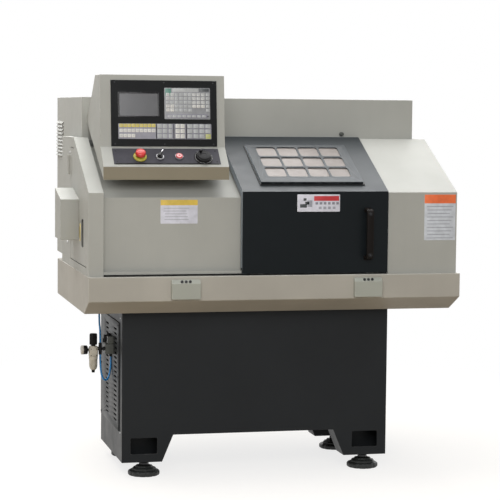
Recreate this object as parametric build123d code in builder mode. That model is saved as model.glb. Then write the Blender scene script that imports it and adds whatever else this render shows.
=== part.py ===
from build123d import *
import os
from math import cos, hypot, radians, sin, tan

os.makedirs("parts", exist_ok=True)

# Chip tray. All places are in mm: x from the tray's left end, y from its front, z from the floor.
tray_width = 1500.0
tray_depth = 928.0
tray_rim_z = 824.0
tray_lip_height = 95.0
tray_height = 153.0
tray_bevel_depth = 121.0
tray_wall = 4.0
tray_front_flange = 75.0
tray_side_flange = 44.0
tray_base_z = tray_rim_z - tray_height
tray_floor_z = tray_base_z + tray_wall
lip_cover_width = 114.0
lip_cover_height = 75.0
lip_cover_out = 22.0
lip_cover_x = (321.0, 1056.0)

# Stand
stand_left = 163.0
stand_right = 1262.0
stand_front = 199.0
stand_back = 745.0
stand_wall = 4.0
leg_base_z = 62.0
stand_floor_z = 170.0
left_leg_width = 164.0
right_leg_width = 180.0
leg_slant = 45.0
leg_depth = 105.0
pocket_width = 107.0
pocket_low_z = 96.0
pocket_high_z = 160.0
pocket_x = (199.0, 1117.0)
foot_x = (stand_left + 101.0, stand_right - 82.0)
foot_y = (stand_front + 65.0, stand_back - 55.0)
foot_pad_radius = 64.0
foot_step_radius = 44.0
foot_pad_height = 22.0
foot_step_height = 40.0
foot_sides = 12
stud_radius = 14.0
nut_radius = 20.0
nut_height = 12.0

# Vent panel on the stand's left side
vent_front = 262.0
vent_back = 715.0
vent_low_z = 186.0
vent_high_z = 612.0
panel_gap = 3.0
vent_slot_width = 60.0
vent_slot_height = 9.0
vent_slot_pitch = 24.0
vent_slot_rows = 16
vent_column_y = (335.0, 541.0)

# Hood skin: an upright front and a slope, shared by the covers and the door
sheet = 3.0
hood_left = 2.5
hood_right = 1490.5
hood_front = 22.5
hood_knee_z = 1148.0
slope_angle = radians(26.0)
slope_end = 441.5
hood_back = 794.0
column_width = 57.5
recess_depth = 32.5
headstock_cover_right = 640.0
right_cover_left = 1203.0
door_lip = 18.0
sill_height = 44.0

# Rear cabinet
cabinet_left = 38.5
cabinet_right = 1445.5
cabinet_front = 471.0
cabinet_back = 1236.0
cabinet_rise = 163.64
cabinet_base_z = 832.0
chamber_back = 760.0
splash_skirt = 125.0
support_width = 60.0
support_inset = 62.0
rear_cover_thickness = 4.0
rear_cover_margin = 22.0
rear_opening_margin = 56.0
louvre_count = 10
louvre_pitch = 15.6
louvre_front = 1030.0
louvre_back = 1225.0
louvre_drop = 104.0
louvre_out = 7.0
rear_slot_rows = 6
rear_slot_width = 180.0
rear_slot_x = (260.0, 740.0, 1220.0)

# Sliding door, its rails and handle
door_left = 606.0
door_right = 1200.0
door_proud = 7.0
door_sheet = 2.5
door_thickness = 30.0
door_base_z = 830.0
door_top_y = 440.0
door_flange_back = 467.0
door_fold_z = 852.0
rail_thickness = 8.0
rail_front = 455.0
rail_low_z = 1322.0
rail_high_z = 1342.0
guide_front = 30.0
guide_thickness = 6.0
guide_height = 18.0
glide_clearance = 0.3
glide_length = 50.0
glide_inset = 34.0
glide_wall = 6.0
handle_x = 1101.0
handle_width = 28.0
handle_low_z = 880.0
handle_length = 208.0
handle_out = 30.0
handle_bar = 14.0
handle_foot = 24.0

# Window: pane in a gasket under a guard plate with a grid of openings
guard_center_x = 901.0
guard_center_s = 217.0
guard_width = 420.0
guard_height = 322.0
guard_thickness = 8.0
guard_columns = 4
guard_rows = 3
guard_opening_width = 80.0
guard_opening_height = 75.0
guard_pitch = 88.0
guard_corner = 6.0
guard_grid_lift = 12.0
window_margin = 14.0
gasket_thickness = 4.0
gasket_overhang = 5.0
pane_lap = 10.0
fit_gap = 0.3

# Side access door with the belt cover box
hatch_front = 87.0
hatch_back = 534.0
hatch_low_z = 857.0
hatch_border = 40.0
hatch_fold = 16.0
hinge_radius = 6.0
hinge_gap = 0.5
hinge_length = 80.0
hinge_z = (930.0, 1200.0)
pull_y = 185.0
pull_width = 34.0
pull_low_z = 930.0
pull_height = 105.0
pull_depth = 14.0
belt_cover_out = 71.0
belt_cover_front = 288.0
belt_cover_back = 460.0
belt_cover_low_z = 949.0
belt_cover_front_z = 1110.0
belt_cover_back_z = 1149.0

# Console
console_left = 61.0
console_right = 555.0
console_clear = 40.0
console_front = 33.0
lip_height = 51.0
desk_back = 112.0
desk_rise = 73.375
console_top_front = 141.0
console_top_back = 261.0
console_rise = 86.0
console_neck_drop = 76.0
cable_hole_x = (230.0, 390.0)
cable_hole_height = 36.0
cable_hole_drop = 6.0
panel_left = 103.0
panel_width = 420.0
panel_low_s = 2.5
panel_height = 258.0
panel_thickness = 4.0
screen_left = 134.0
screen_width = 157.0
screen_low_s = 119.0
screen_height = 92.0
keypad_left = 314.0
keypad_width = 182.0
keypad_low_s = 109.0
keypad_height = 123.0
operator_left = 131.0
operator_width = 369.0
operator_low_s = 31.0
operator_height = 60.0
membrane = 1.2
strip_left = 104.0
strip_width = 420.0
strip_low_s = 13.0
strip_height = 84.5
strip_thickness = 3.0
control_s = 50.0
estop_x = 208.5
selector_x = 287.0
start_x = 362.5
dial_x = 459.0
dial_s = 46.0
estop_radius = 20.0
estop_travel = 5.0
collar_radius = 27.0
collar_height = 9.0
bezel_radius = 16.5
bezel_height = 6.0
dial_base_height = 4.0
stem_drop = 12.0
estop_height = 17.0
selector_radius = 12.0
start_radius = 11.0
start_travel = 3.0
dial_radius = 30.0
dial_height = 14.0
dial_base_radius = 37.0
stem_radius = 7.0
stem_sides = 8
round_sides = 20
turned_sides = 32

# Spindle line
spindle_y = 374.0
spindle_z = 1045.0
spindle_rear = 60.0
pulley_left = 180.0
pulley_width = 60.0
spindle_pulley_radius = 80.0
motor_pulley_radius = 60.0
belt_thickness = 8.0
spindle_rear_radius = 30.0
spindle_radius = 45.0
running_clearance = 0.12
nose_radius = 54.0
nose_length = 30.0
nose_gap = 0.5
chuck_radius = 82.5
chuck_length = 85.0
chuck_bore = 20.0
jaw_width = 22.0
jaw_slot_depth = 14.0
jaw_height = 30.0
jaw_inner = 25.0
jaw_outer = 74.0
jaw_step = 17.0
air_chuck_radius = 62.0
air_chuck_left = -42.0

# Headstock, bed and motor
headstock_left = 250.0
headstock_base_width = 240.0
headstock_radius = 105.0
headstock_flange = 30.0
bed_top_z = 850.0
bed_end_gap = 190.0
bed_base_width = 260.0
bed_top_width = 236.0
bed_waist_width = 210.0
bed_trough_width = 80.0
bed_trough_depth = 28.0
way_spacing = 180.0
way_width = 20.0
way_height = 22.0
way_left = 650.0
way_end_gap = 10.0
bed_window_count = 3
bed_window_width = 140.0
bed_window_height = 62.0
motor_z = 430.0
motor_size = 190.0
motor_left = 260.0
motor_length = 300.0
motor_shaft_radius = 19.0
motor_foot = 13.0
shelf_left = 248.0
shelf_right = 620.0
shelf_thickness = 6.0

# Slides and ball screws
saddle_park = 220.0
saddle_length = 200.0
saddle_front = 184.0
saddle_back = 600.0
saddle_low_z = 886.0
saddle_thickness = 35.0
block_length = 60.0
block_width = 46.0
block_lift = 10.0
nut_length = 70.0
nut_half = 18.0
bearing_depth = 14.0
pad_half = 20.0
nut_depth = 32.0
z_screw_radius = 10.0
z_screw_z = 858.0
servo_size = 90.0
servo_length = 130.0
servo_plate = 12.0
cross_way_spacing = 140.0
cross_way_width = 18.0
cross_way_height = 18.0
x_screw_radius = 8.0
x_screw_z = 935.0
x_servo_size = 80.0
x_servo_length = 100.0
table_front = 244.0
table_back = 504.0
table_width = 180.0
table_low_z = 958.0
table_thickness = 27.0
tool_spacing = 80.0
tool_block_width = 56.0
tool_block_length = 64.0
tool_block_height = 92.0
tool_shank = 12.0
tool_reach = 62.0

# Coolant tank and electrics
tank_left = 700.0
tank_width = 480.0
tank_depth = 440.0
tank_height = 230.0
tank_wall = 3.0
pump_size = 110.0
pump_height = 150.0
drive_depth = 140.0
drive_boxes = ((60, 170, 300), (280, 90, 260), (400, 90, 260), (560, 210, 320), (840, 260, 120))
drive_box_rise = 60.0
drive_plate_left = 140.0
drive_plate_width = 1200.0
drive_plate_height = 420.0
drive_plate_rise = 68.0

# Air unit beside the stand
regulator_x = 78.0
regulator_y = 400.0
regulator_size = 36.0
regulator_low_z = 465.0
regulator_high_z = 509.0
bowl_radius = 17.0
bowl_low_z = 402.0
drain_radius = 6.5
drain_length = 14.0
knob_radius = 14.0
knob_height = 46.0
gauge_radius = 18.5
gauge_length = 28.0
gauge_z = 493.0
gauge_stem = 5.0
gauge_stem_length = 4.0
valve_front = 380.0
valve_length = 100.0
valve_depth = 38.0
valve_low_z = 475.0
valve_height = 77.0
nipple_radius = 8.0
nipple_z = 497.0
gland_radius = 7.0
gland_length = 16.0
tube_radius = 4.0

# The origin is the floor point under the middle of the whole machine
overall_back = cabinet_back + rear_cover_thickness
mid_x = (tray_width - belt_cover_out) / 2
mid_y = (overall_back - handle_out) / 2

slope_rise = tan(slope_angle)


def level(height):
    """A plane seen from above: its x and y are the machine's."""
    return Plane(origin=(-mid_x, -mid_y, height))


def front(depth):
    """An upright plane seen from the front: its x and y are the machine's x and z."""
    return Plane(origin=(-mid_x, depth - mid_y, 0), x_dir=(1, 0, 0), z_dir=(0, -1, 0))


def side(across):
    """An upright plane across the machine: its x and y are the machine's y and z."""
    return Plane(origin=(across - mid_x, -mid_y, 0), x_dir=(0, 1, 0), z_dir=(1, 0, 0))


def tilted(low, high, lift=0.0):
    """A plane through two (y, z) points: its x is the machine's, its y runs up from low."""
    run = high[0] - low[0]
    rise = high[1] - low[1]
    length = hypot(run, rise)
    normal = (0, -rise / length, run / length)
    origin = (-mid_x, low[0] - mid_y + lift * normal[1], low[1] + lift * normal[2])
    return Plane(origin=origin, x_dir=(1, 0, 0), z_dir=normal)


def block(x, y, z, mode=Mode.ADD):
    """A block between two x, two y and two z values."""
    with Locations((x[0] - mid_x, y[0] - mid_y, z[0])):
        Box(x[1] - x[0], y[1] - y[0], z[1] - z[0], align=(Align.MIN, Align.MIN, Align.MIN), mode=mode)


def skin_knee(depth):
    """Where the front meets the slope, at a depth behind the hood's outer face."""
    return (hood_front + depth, hood_knee_z + depth * (slope_rise - 1 / cos(slope_angle)))


def skin_z(y, depth):
    """Height of the slope at y, at a depth behind the hood's outer face."""
    return hood_knee_z + (y - hood_front) * slope_rise - depth / cos(slope_angle)


def skin_profile(depth, thickness, low_z, end_y):
    """Section of a bent sheet that follows the hood's front and slope."""
    inner = depth + thickness
    return [
        (hood_front + depth, low_z),
        skin_knee(depth),
        (end_y, skin_z(end_y, depth)),
        (end_y, skin_z(end_y, inner)),
        skin_knee(inner),
        (hood_front + inner, low_z),
    ]


hood_top_z = skin_z(slope_end, 0)
recess_top_z = skin_z(slope_end, recess_depth)
cabinet_top_z = hood_top_z + cabinet_rise
console_top_z = cabinet_top_z + console_rise
console_neck_z = cabinet_top_z - console_neck_drop
cable_hole_top_z = console_neck_z - cable_hole_drop
cable_hole_z = (cable_hole_top_z - cable_hole_height, cable_hole_top_z)
bed_right = tray_width - bed_end_gap
way_right = bed_right - way_end_gap
saddle_left = bed_right - saddle_park
headstock_right = headstock_cover_right - tray_wall
partition_left = headstock_right
nose_left = headstock_cover_right + nose_gap
chuck_left = nose_left + nose_length
jaw_left = chuck_left + chuck_length
slope_plane = tilted(skin_knee(-door_proud), (slope_end, skin_z(slope_end, -door_proud)))
spindle_axis = Axis((-mid_x, spindle_y - mid_y, spindle_z), (1, 0, 0))

# Stand: walls, floor and deck, and four hollow corner legs with pockets; the side walls reach the legs' base
leg_inner_x = (stand_left + left_leg_width, stand_right - right_leg_width)
leg_front_y = (stand_front, stand_back - leg_depth)
with BuildPart() as stand_cabinet:
    block((stand_left, stand_right), (stand_front, stand_back), (stand_floor_z, tray_base_z))
    block(
        (stand_left + stand_wall, stand_right - stand_wall),
        (stand_front + stand_wall, stand_back - stand_wall),
        (stand_floor_z + stand_wall, tray_base_z - stand_wall),
        mode=Mode.SUBTRACT,
    )
    for leg_y in leg_front_y:
        with BuildSketch(front(leg_y)):
            Polygon(
                (stand_left, leg_base_z),
                (leg_inner_x[0], leg_base_z),
                (leg_inner_x[0] + leg_slant, stand_floor_z),
                (stand_left, stand_floor_z),
                align=None,
            )
            Polygon(
                (stand_right, leg_base_z),
                (leg_inner_x[1], leg_base_z),
                (leg_inner_x[1] - leg_slant, stand_floor_z),
                (stand_right, stand_floor_z),
                align=None,
            )
        extrude(amount=-leg_depth)
        with BuildSketch(front(leg_y + stand_wall)):
            Polygon(
                (stand_left + stand_wall, leg_base_z + stand_wall),
                (leg_inner_x[0] - stand_wall, leg_base_z + stand_wall),
                (leg_inner_x[0] + leg_slant - 2 * stand_wall, stand_floor_z - stand_wall),
                (stand_left + stand_wall, stand_floor_z - stand_wall),
                align=None,
            )
            Polygon(
                (stand_right - stand_wall, leg_base_z + stand_wall),
                (leg_inner_x[1] + stand_wall, leg_base_z + stand_wall),
                (leg_inner_x[1] - leg_slant + 2 * stand_wall, stand_floor_z - stand_wall),
                (stand_right - stand_wall, stand_floor_z - stand_wall),
                align=None,
            )
        extrude(amount=-(leg_depth - 2 * stand_wall), mode=Mode.SUBTRACT)
        for left in pocket_x:
            wall_y = leg_y if leg_y == stand_front else stand_back - stand_wall
            block(
                (left, left + pocket_width),
                (wall_y, wall_y + stand_wall),
                (pocket_low_z, pocket_high_z),
                mode=Mode.SUBTRACT,
            )
    for wall_x in (stand_left, stand_right - stand_wall):
        block(
            (wall_x, wall_x + stand_wall),
            (stand_front + leg_depth, stand_back - leg_depth),
            (leg_base_z, stand_floor_z),
        )
    block(
        (stand_left, stand_left + stand_wall),
        (vent_front - panel_gap, vent_back + panel_gap),
        (vent_low_z - panel_gap, vent_high_z + panel_gap),
        mode=Mode.SUBTRACT,
    )
    # Ledge behind the vent panel
    block(
        (stand_left + stand_wall, stand_left + 2 * stand_wall),
        (vent_front - 16, vent_back + 16),
        (vent_low_z - 12, vent_high_z + 16),
    )
    block(
        (stand_left + stand_wall, stand_left + 2 * stand_wall),
        (vent_front + 14, vent_back - 14),
        (vent_low_z + 14, vent_high_z - 14),
        mode=Mode.SUBTRACT,
    )
    # Belt slot in the deck and the motor shelf
    block(
        (pulley_left - 10, pulley_left + pulley_width + 10),
        (spindle_y - 100, spindle_y + 100),
        (tray_base_z - stand_wall, tray_base_z),
        mode=Mode.SUBTRACT,
    )
    block(
        (shelf_left, shelf_right),
        (stand_front + stand_wall, stand_back - stand_wall),
        (
            motor_z - motor_size / 2 - motor_foot - shelf_thickness,
            motor_z - motor_size / 2 - motor_foot,
        ),
    )
stand_cabinet.part.label = "stand_cabinet"
export_step(stand_cabinet.part, "parts/stand_cabinet.step")

# Vent panel: two columns of slots
with BuildPart() as stand_vent_panel:
    block(
        (stand_left, stand_left + stand_wall),
        (vent_front, vent_back),
        (vent_low_z, vent_high_z),
    )
    with BuildSketch(side(stand_left)):
        for column in vent_column_y:
            for row in range(vent_slot_rows):
                with Locations((column, vent_high_z - 38 - row * vent_slot_pitch)):
                    Rectangle(vent_slot_width, vent_slot_height)
    extrude(amount=stand_wall, mode=Mode.SUBTRACT)
stand_vent_panel.part.label = "stand_vent_panel"
export_step(stand_vent_panel.part, "parts/stand_vent_panel.step")

# Levelling feet: a stepped pad on a stud with its lock nut under the leg
with BuildPart() as levelling_feet:
    for low_z, high_z, radius, sides in (
        (0, foot_pad_height, foot_pad_radius, foot_sides),
        (foot_pad_height, foot_step_height, foot_step_radius, foot_sides),
        (foot_step_height, leg_base_z - nut_height, stud_radius, 6),
        (leg_base_z - nut_height, leg_base_z, nut_radius, 6),
    ):
        with BuildSketch(level(low_z)):
            for x in foot_x:
                for y in foot_y:
                    with Locations((x, y)):
                        RegularPolygon(radius, sides)
        extrude(amount=high_z - low_z)
levelling_feet.part.label = "levelling_feet"
export_step(levelling_feet.part, "parts/levelling_feet.step")

# Chip tray: lip, bevelled front underside, rim flanges and the belt opening with its collar
tray_section = [
    (0, tray_rim_z),
    (0, tray_rim_z - tray_lip_height),
    (tray_bevel_depth, tray_base_z),
    (tray_depth, tray_base_z),
    (tray_depth, tray_rim_z),
]
tray_inside = [
    (tray_wall, tray_rim_z - tray_wall),
    (tray_wall, tray_rim_z - tray_lip_height + tray_wall / 2),
    (tray_bevel_depth + tray_wall / 2, tray_floor_z),
    (tray_depth - tray_wall, tray_floor_z),
    (tray_depth - tray_wall, tray_rim_z - tray_wall),
]
with BuildPart() as chip_tray:
    with BuildSketch(side(0)):
        Polygon(*tray_section, align=None)
    extrude(amount=tray_width)
    with BuildSketch(side(tray_wall)):
        Polygon(*tray_inside, align=None)
    extrude(amount=tray_width - 2 * tray_wall, mode=Mode.SUBTRACT)
    block(
        (tray_side_flange, tray_width - tray_side_flange),
        (tray_front_flange, tray_depth - tray_side_flange),
        (tray_rim_z - tray_wall, tray_rim_z),
        mode=Mode.SUBTRACT,
    )
    block(
        (pulley_left - 14, pulley_left + pulley_width + 9),
        (spindle_y - 104, spindle_y + 104),
        (tray_floor_z, tray_floor_z + 40),
    )
    block(
        (pulley_left - 10, pulley_left + pulley_width + 5),
        (spindle_y - 100, spindle_y + 100),
        (tray_base_z, tray_floor_z + 40),
        mode=Mode.SUBTRACT,
    )
chip_tray.part.label = "chip_tray"
export_step(chip_tray.part, "parts/chip_tray.step")

# Folded covers on the tray's front lip
with BuildPart() as tray_lip_covers:
    for left in lip_cover_x:
        with BuildSketch(side(left)):
            Polygon(
                (0, tray_rim_z - 12),
                (-lip_cover_out * 0.4, tray_rim_z - 12),
                (-lip_cover_out, tray_rim_z - 26),
                (-lip_cover_out, tray_rim_z - 12 - lip_cover_height),
                (0, tray_rim_z - 12 - lip_cover_height),
                align=None,
            )
        extrude(amount=lip_cover_width)
tray_lip_covers.part.label = "tray_lip_covers"
export_step(tray_lip_covers.part, "parts/tray_lip_covers.step")

# Bed casting: flanged base, waist, two guide ways, screw trough and chip windows
half_base = bed_base_width / 2
half_top = bed_top_width / 2
half_waist = bed_waist_width / 2
half_trough = bed_trough_width / 2
bed_half = [
    (half_base, tray_floor_z),
    (half_base, tray_floor_z + 25),
    (half_waist, tray_floor_z + 40),
    (half_waist, bed_top_z - 35),
    (half_top, bed_top_z - 25),
    (half_top, bed_top_z),
    (half_trough, bed_top_z),
    (half_trough, bed_top_z - bed_trough_depth),
]
bed_section = [(spindle_y + y, z) for y, z in bed_half]
bed_section += [(spindle_y - y, z) for y, z in reversed(bed_half)]
with BuildPart() as bed_casting:
    with BuildSketch(side(headstock_left)):
        Polygon(*bed_section, align=None)
    extrude(amount=bed_right - headstock_left)
    for way in (-way_spacing / 2, way_spacing / 2):
        block(
            (way_left, way_right),
            (spindle_y + way - way_width / 2, spindle_y + way + way_width / 2),
            (bed_top_z, bed_top_z + way_height),
        )
    window_pitch = (bed_right - way_left) / bed_window_count
    with BuildSketch(front(spindle_y - half_base)):
        for number in range(bed_window_count):
            with Locations((way_left + (number + 0.5) * window_pitch, tray_floor_z + 88)):
                Rectangle(bed_window_width, bed_window_height)
    extrude(amount=-bed_base_width, mode=Mode.SUBTRACT)
    # Servo plate at the bed's right end, notched for the screw
    block(
        (bed_right, bed_right + servo_plate),
        (spindle_y - servo_size / 2, spindle_y + servo_size / 2),
        (bed_top_z - bed_trough_depth - 12, z_screw_z + servo_size / 2),
    )
    block(
        (bed_right, bed_right + servo_plate),
        (spindle_y - z_screw_radius - fit_gap, spindle_y + z_screw_radius + fit_gap),
        (z_screw_z - z_screw_radius - fit_gap, z_screw_z + servo_size / 2),
        mode=Mode.SUBTRACT,
    )
bed_casting.part.label = "bed_casting"
export_step(bed_casting.part, "parts/bed_casting.step")

# Headstock: flanged foot, straight cheeks and a round crown about the spindle bore
with BuildPart() as headstock:
    with BuildSketch(side(headstock_left)):
        with Locations((spindle_y, (bed_top_z + spindle_z) / 2)):
            Rectangle(2 * headstock_radius, spindle_z - bed_top_z)
        with Locations((spindle_y, bed_top_z + headstock_flange / 2)):
            Rectangle(headstock_base_width, headstock_flange)
        with Locations((spindle_y, spindle_z)):
            Circle(headstock_radius)
            Circle(spindle_radius + running_clearance, mode=Mode.SUBTRACT)
    extrude(amount=headstock_right - headstock_left)
headstock.part.label = "headstock"
export_step(headstock.part, "parts/headstock.step")

# Main motor on its shelf in the stand
with BuildPart() as main_motor:
    with BuildSketch(side(motor_left)):
        with Locations((spindle_y, motor_z)):
            Rectangle(motor_size, motor_size)
        chamfer(vertices(), length=22)
    extrude(amount=motor_length)
    block(
        (motor_left + 40, motor_left + motor_length - 40),
        (spindle_y - motor_size / 2, spindle_y + motor_size / 2),
        (motor_z - motor_size / 2 - motor_foot, motor_z - motor_size / 2 + 22),
    )
    block(
        (motor_left + 100, motor_left + 190),
        (spindle_y - 45, spindle_y + 45),
        (motor_z + motor_size / 2, motor_z + motor_size / 2 + 45),
    )
main_motor.part.label = "main_motor"
export_step(main_motor.part, "parts/main_motor.step")

# Motor pulley and the shaft that carries it
with BuildPart() as motor_pulley:
    with BuildSketch(side(pulley_left)):
        with Locations((spindle_y, motor_z)):
            RegularPolygon(motor_pulley_radius, turned_sides)
    extrude(amount=pulley_width)
    with BuildSketch(side(pulley_left + pulley_width)):
        with Locations((spindle_y, motor_z)):
            RegularPolygon(motor_shaft_radius, round_sides)
    extrude(amount=motor_left - pulley_left - pulley_width - fit_gap)
motor_pulley.part.label = "motor_pulley"
export_step(motor_pulley.part, "parts/motor_pulley.step")

# Drive belt round both pulleys
with BuildPart() as drive_belt:
    with BuildSketch(side(pulley_left + 5)):
        with BuildLine():
            upper = CenterArc((spindle_y, spindle_z), spindle_pulley_radius + belt_thickness, 0, 180)
            lower = CenterArc((spindle_y, motor_z), motor_pulley_radius + belt_thickness, 180, 180)
            Line(upper @ 1, lower @ 0)
            Line(lower @ 1, upper @ 0)
        make_face()
        with BuildLine():
            upper = CenterArc((spindle_y, spindle_z), spindle_pulley_radius + fit_gap, 0, 180)
            lower = CenterArc((spindle_y, motor_z), motor_pulley_radius + fit_gap, 180, 180)
            Line(upper @ 1, lower @ 0)
            Line(lower @ 1, upper @ 0)
        make_face(mode=Mode.SUBTRACT)
    extrude(amount=pulley_width - 10)
drive_belt.part.label = "drive_belt"
export_step(drive_belt.part, "parts/drive_belt.step")

# Spindle: pulley seat, bearing journal and nose flange
with BuildPart() as spindle:
    with BuildSketch(front(spindle_y)):
        Polygon(
            (spindle_rear, spindle_z),
            (spindle_rear, spindle_z + spindle_rear_radius),
            (pulley_left + pulley_width, spindle_z + spindle_rear_radius),
            (pulley_left + pulley_width, spindle_z + spindle_radius),
            (nose_left, spindle_z + spindle_radius),
            (nose_left, spindle_z + nose_radius),
            (chuck_left, spindle_z + nose_radius),
            (chuck_left, spindle_z),
            align=None,
        )
    revolve(axis=spindle_axis)
spindle.part.label = "spindle"
export_step(spindle.part, "parts/spindle.step")

# Spindle pulley
with BuildPart() as spindle_pulley:
    with BuildSketch(side(pulley_left)):
        with Locations((spindle_y, spindle_z)):
            RegularPolygon(spindle_pulley_radius, turned_sides)
            Circle(spindle_rear_radius, mode=Mode.SUBTRACT)
    extrude(amount=pulley_width)
spindle_pulley.part.label = "spindle_pulley"
export_step(spindle_pulley.part, "parts/spindle_pulley.step")

# Rotating cylinder that draws the chuck, on the spindle's rear end
with BuildPart() as chuck_cylinder:
    with BuildSketch(side(air_chuck_left)):
        with Locations((spindle_y, spindle_z)):
            RegularPolygon(air_chuck_radius, turned_sides)
    extrude(amount=spindle_rear - air_chuck_left)
chuck_cylinder.part.label = "chuck_cylinder"
export_step(chuck_cylinder.part, "parts/chuck_cylinder.step")

# Chuck body with three radial jaw slots
with BuildPart() as chuck_body:
    with BuildSketch(side(chuck_left)):
        with Locations((spindle_y, spindle_z)):
            RegularPolygon(chuck_radius, turned_sides)
            RegularPolygon(chuck_bore, stem_sides, mode=Mode.SUBTRACT)
    extrude(amount=chuck_length)
    with BuildSketch(side(jaw_left - jaw_slot_depth)):
        with Locations((spindle_y, spindle_z)):
            with PolarLocations((chuck_bore + chuck_radius) / 2, 3, start_angle=90):
                Rectangle(chuck_radius - chuck_bore + 10, jaw_width + 2 * fit_gap)
    extrude(amount=jaw_slot_depth, mode=Mode.SUBTRACT)
chuck_body.part.label = "chuck_body"
export_step(chuck_body.part, "parts/chuck_body.step")

# Stepped jaws, each in its slot
jaw_foot = jaw_left - jaw_slot_depth + fit_gap
for number in range(3):
    jaw_angle = radians(90 + 120 * number)
    jaw_plane = Plane(
        origin=(-mid_x, spindle_y - mid_y, spindle_z),
        x_dir=(1, 0, 0),
        z_dir=(0, -sin(jaw_angle), cos(jaw_angle)),
    )
    with BuildPart() as jaw:
        with BuildSketch(jaw_plane):
            Polygon(
                (jaw_foot, jaw_inner),
                (jaw_left + jaw_height, jaw_inner),
                (jaw_left + jaw_height, jaw_inner + jaw_step),
                (jaw_left + jaw_height * 0.6, jaw_inner + jaw_step),
                (jaw_left + jaw_height * 0.6, jaw_inner + 2 * jaw_step),
                (jaw_left + jaw_height * 0.25, jaw_inner + 2 * jaw_step),
                (jaw_left + jaw_height * 0.25, jaw_outer),
                (jaw_foot, jaw_outer),
                align=None,
            )
        extrude(amount=jaw_width / 2, both=True)
    jaw.part.label = f"chuck_jaw_{number + 1}"
    export_step(jaw.part, f"parts/chuck_jaw_{number + 1}.step")

# Saddle: plate on four bearing blocks, nut housing, cross ways and screw bearings
saddle_right = saddle_left + saddle_length
saddle_mid = saddle_left + saddle_length / 2
saddle_top_z = saddle_low_z + saddle_thickness
with BuildPart() as saddle:
    block((saddle_left, saddle_right), (saddle_front, saddle_back), (saddle_low_z, saddle_top_z))
    for way in (-way_spacing / 2, way_spacing / 2):
        for left in (saddle_left, saddle_right - block_length):
            block(
                (left, left + block_length),
                (spindle_y + way - block_width / 2, spindle_y + way + block_width / 2),
                (bed_top_z + block_lift, saddle_low_z),
            )
            block(
                (left, left + block_length),
                (spindle_y + way - way_width / 2 - fit_gap, spindle_y + way + way_width / 2 + fit_gap),
                (bed_top_z + block_lift, bed_top_z + way_height + fit_gap),
                mode=Mode.SUBTRACT,
            )
    block(
        (saddle_mid - nut_length / 2, saddle_mid + nut_length / 2),
        (spindle_y - nut_half, spindle_y + nut_half),
        (z_screw_z - nut_half, saddle_low_z),
    )
    block(
        (saddle_mid - nut_length / 2, saddle_mid + nut_length / 2),
        (spindle_y - z_screw_radius - fit_gap, spindle_y + z_screw_radius + fit_gap),
        (z_screw_z - nut_half, z_screw_z + z_screw_radius + fit_gap),
        mode=Mode.SUBTRACT,
    )
    for way in (-cross_way_spacing / 2, cross_way_spacing / 2):
        block(
            (saddle_mid + way - cross_way_width / 2, saddle_mid + way + cross_way_width / 2),
            (saddle_front + bearing_depth, saddle_back - servo_plate),
            (saddle_top_z, saddle_top_z + cross_way_height),
        )
    block(
        (saddle_mid - nut_half, saddle_mid + nut_half),
        (saddle_front, saddle_front + bearing_depth),
        (saddle_top_z, x_screw_z + nut_half),
    )
    block(
        (saddle_mid - x_servo_size / 2, saddle_mid + x_servo_size / 2),
        (saddle_back - servo_plate, saddle_back),
        (saddle_top_z, x_screw_z + x_servo_size / 2),
    )
    block(
        (saddle_mid - x_screw_radius - fit_gap, saddle_mid + x_screw_radius + fit_gap),
        (saddle_front, saddle_back),
        (x_screw_z - x_screw_radius - fit_gap, x_screw_z + nut_half),
        mode=Mode.SUBTRACT,
    )
saddle.part.label = "saddle"
export_step(saddle.part, "parts/saddle.step")

# Ball screws
with BuildPart() as z_ballscrew:
    with BuildSketch(side(way_left)):
        with Locations((spindle_y, z_screw_z)):
            Circle(z_screw_radius)
    extrude(amount=bed_right + servo_plate - fit_gap - way_left)
z_ballscrew.part.label = "z_ballscrew"
export_step(z_ballscrew.part, "parts/z_ballscrew.step")

with BuildPart() as x_ballscrew:
    with BuildSketch(front(saddle_front)):
        with Locations((saddle_mid, x_screw_z)):
            Circle(x_screw_radius)
    extrude(amount=saddle_front - saddle_back + fit_gap)
x_ballscrew.part.label = "x_ballscrew"
export_step(x_ballscrew.part, "parts/x_ballscrew.step")

# Servo motors on the screws' ends
with BuildPart() as z_servo_motor:
    block(
        (bed_right + servo_plate, bed_right + servo_plate + servo_length),
        (spindle_y - servo_size / 2, spindle_y + servo_size / 2),
        (z_screw_z - servo_size / 2, z_screw_z + servo_size / 2),
    )
    block(
        (bed_right + servo_length - 60, bed_right + servo_length - 10),
        (spindle_y - 18, spindle_y + 18),
        (z_screw_z + servo_size / 2, z_screw_z + servo_size / 2 + 22),
    )
z_servo_motor.part.label = "z_servo_motor"
export_step(z_servo_motor.part, "parts/z_servo_motor.step")

with BuildPart() as x_servo_motor:
    block(
        (saddle_mid - x_servo_size / 2, saddle_mid + x_servo_size / 2),
        (saddle_back, saddle_back + x_servo_length),
        (x_screw_z - x_servo_size / 2, x_screw_z + x_servo_size / 2),
    )
    block(
        (saddle_mid - 16, saddle_mid + 16),
        (saddle_back + x_servo_length - 50, saddle_back + x_servo_length - 8),
        (x_screw_z + x_servo_size / 2, x_screw_z + x_servo_size / 2 + 20),
    )
x_servo_motor.part.label = "x_servo_motor"
export_step(x_servo_motor.part, "parts/x_servo_motor.step")

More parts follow.
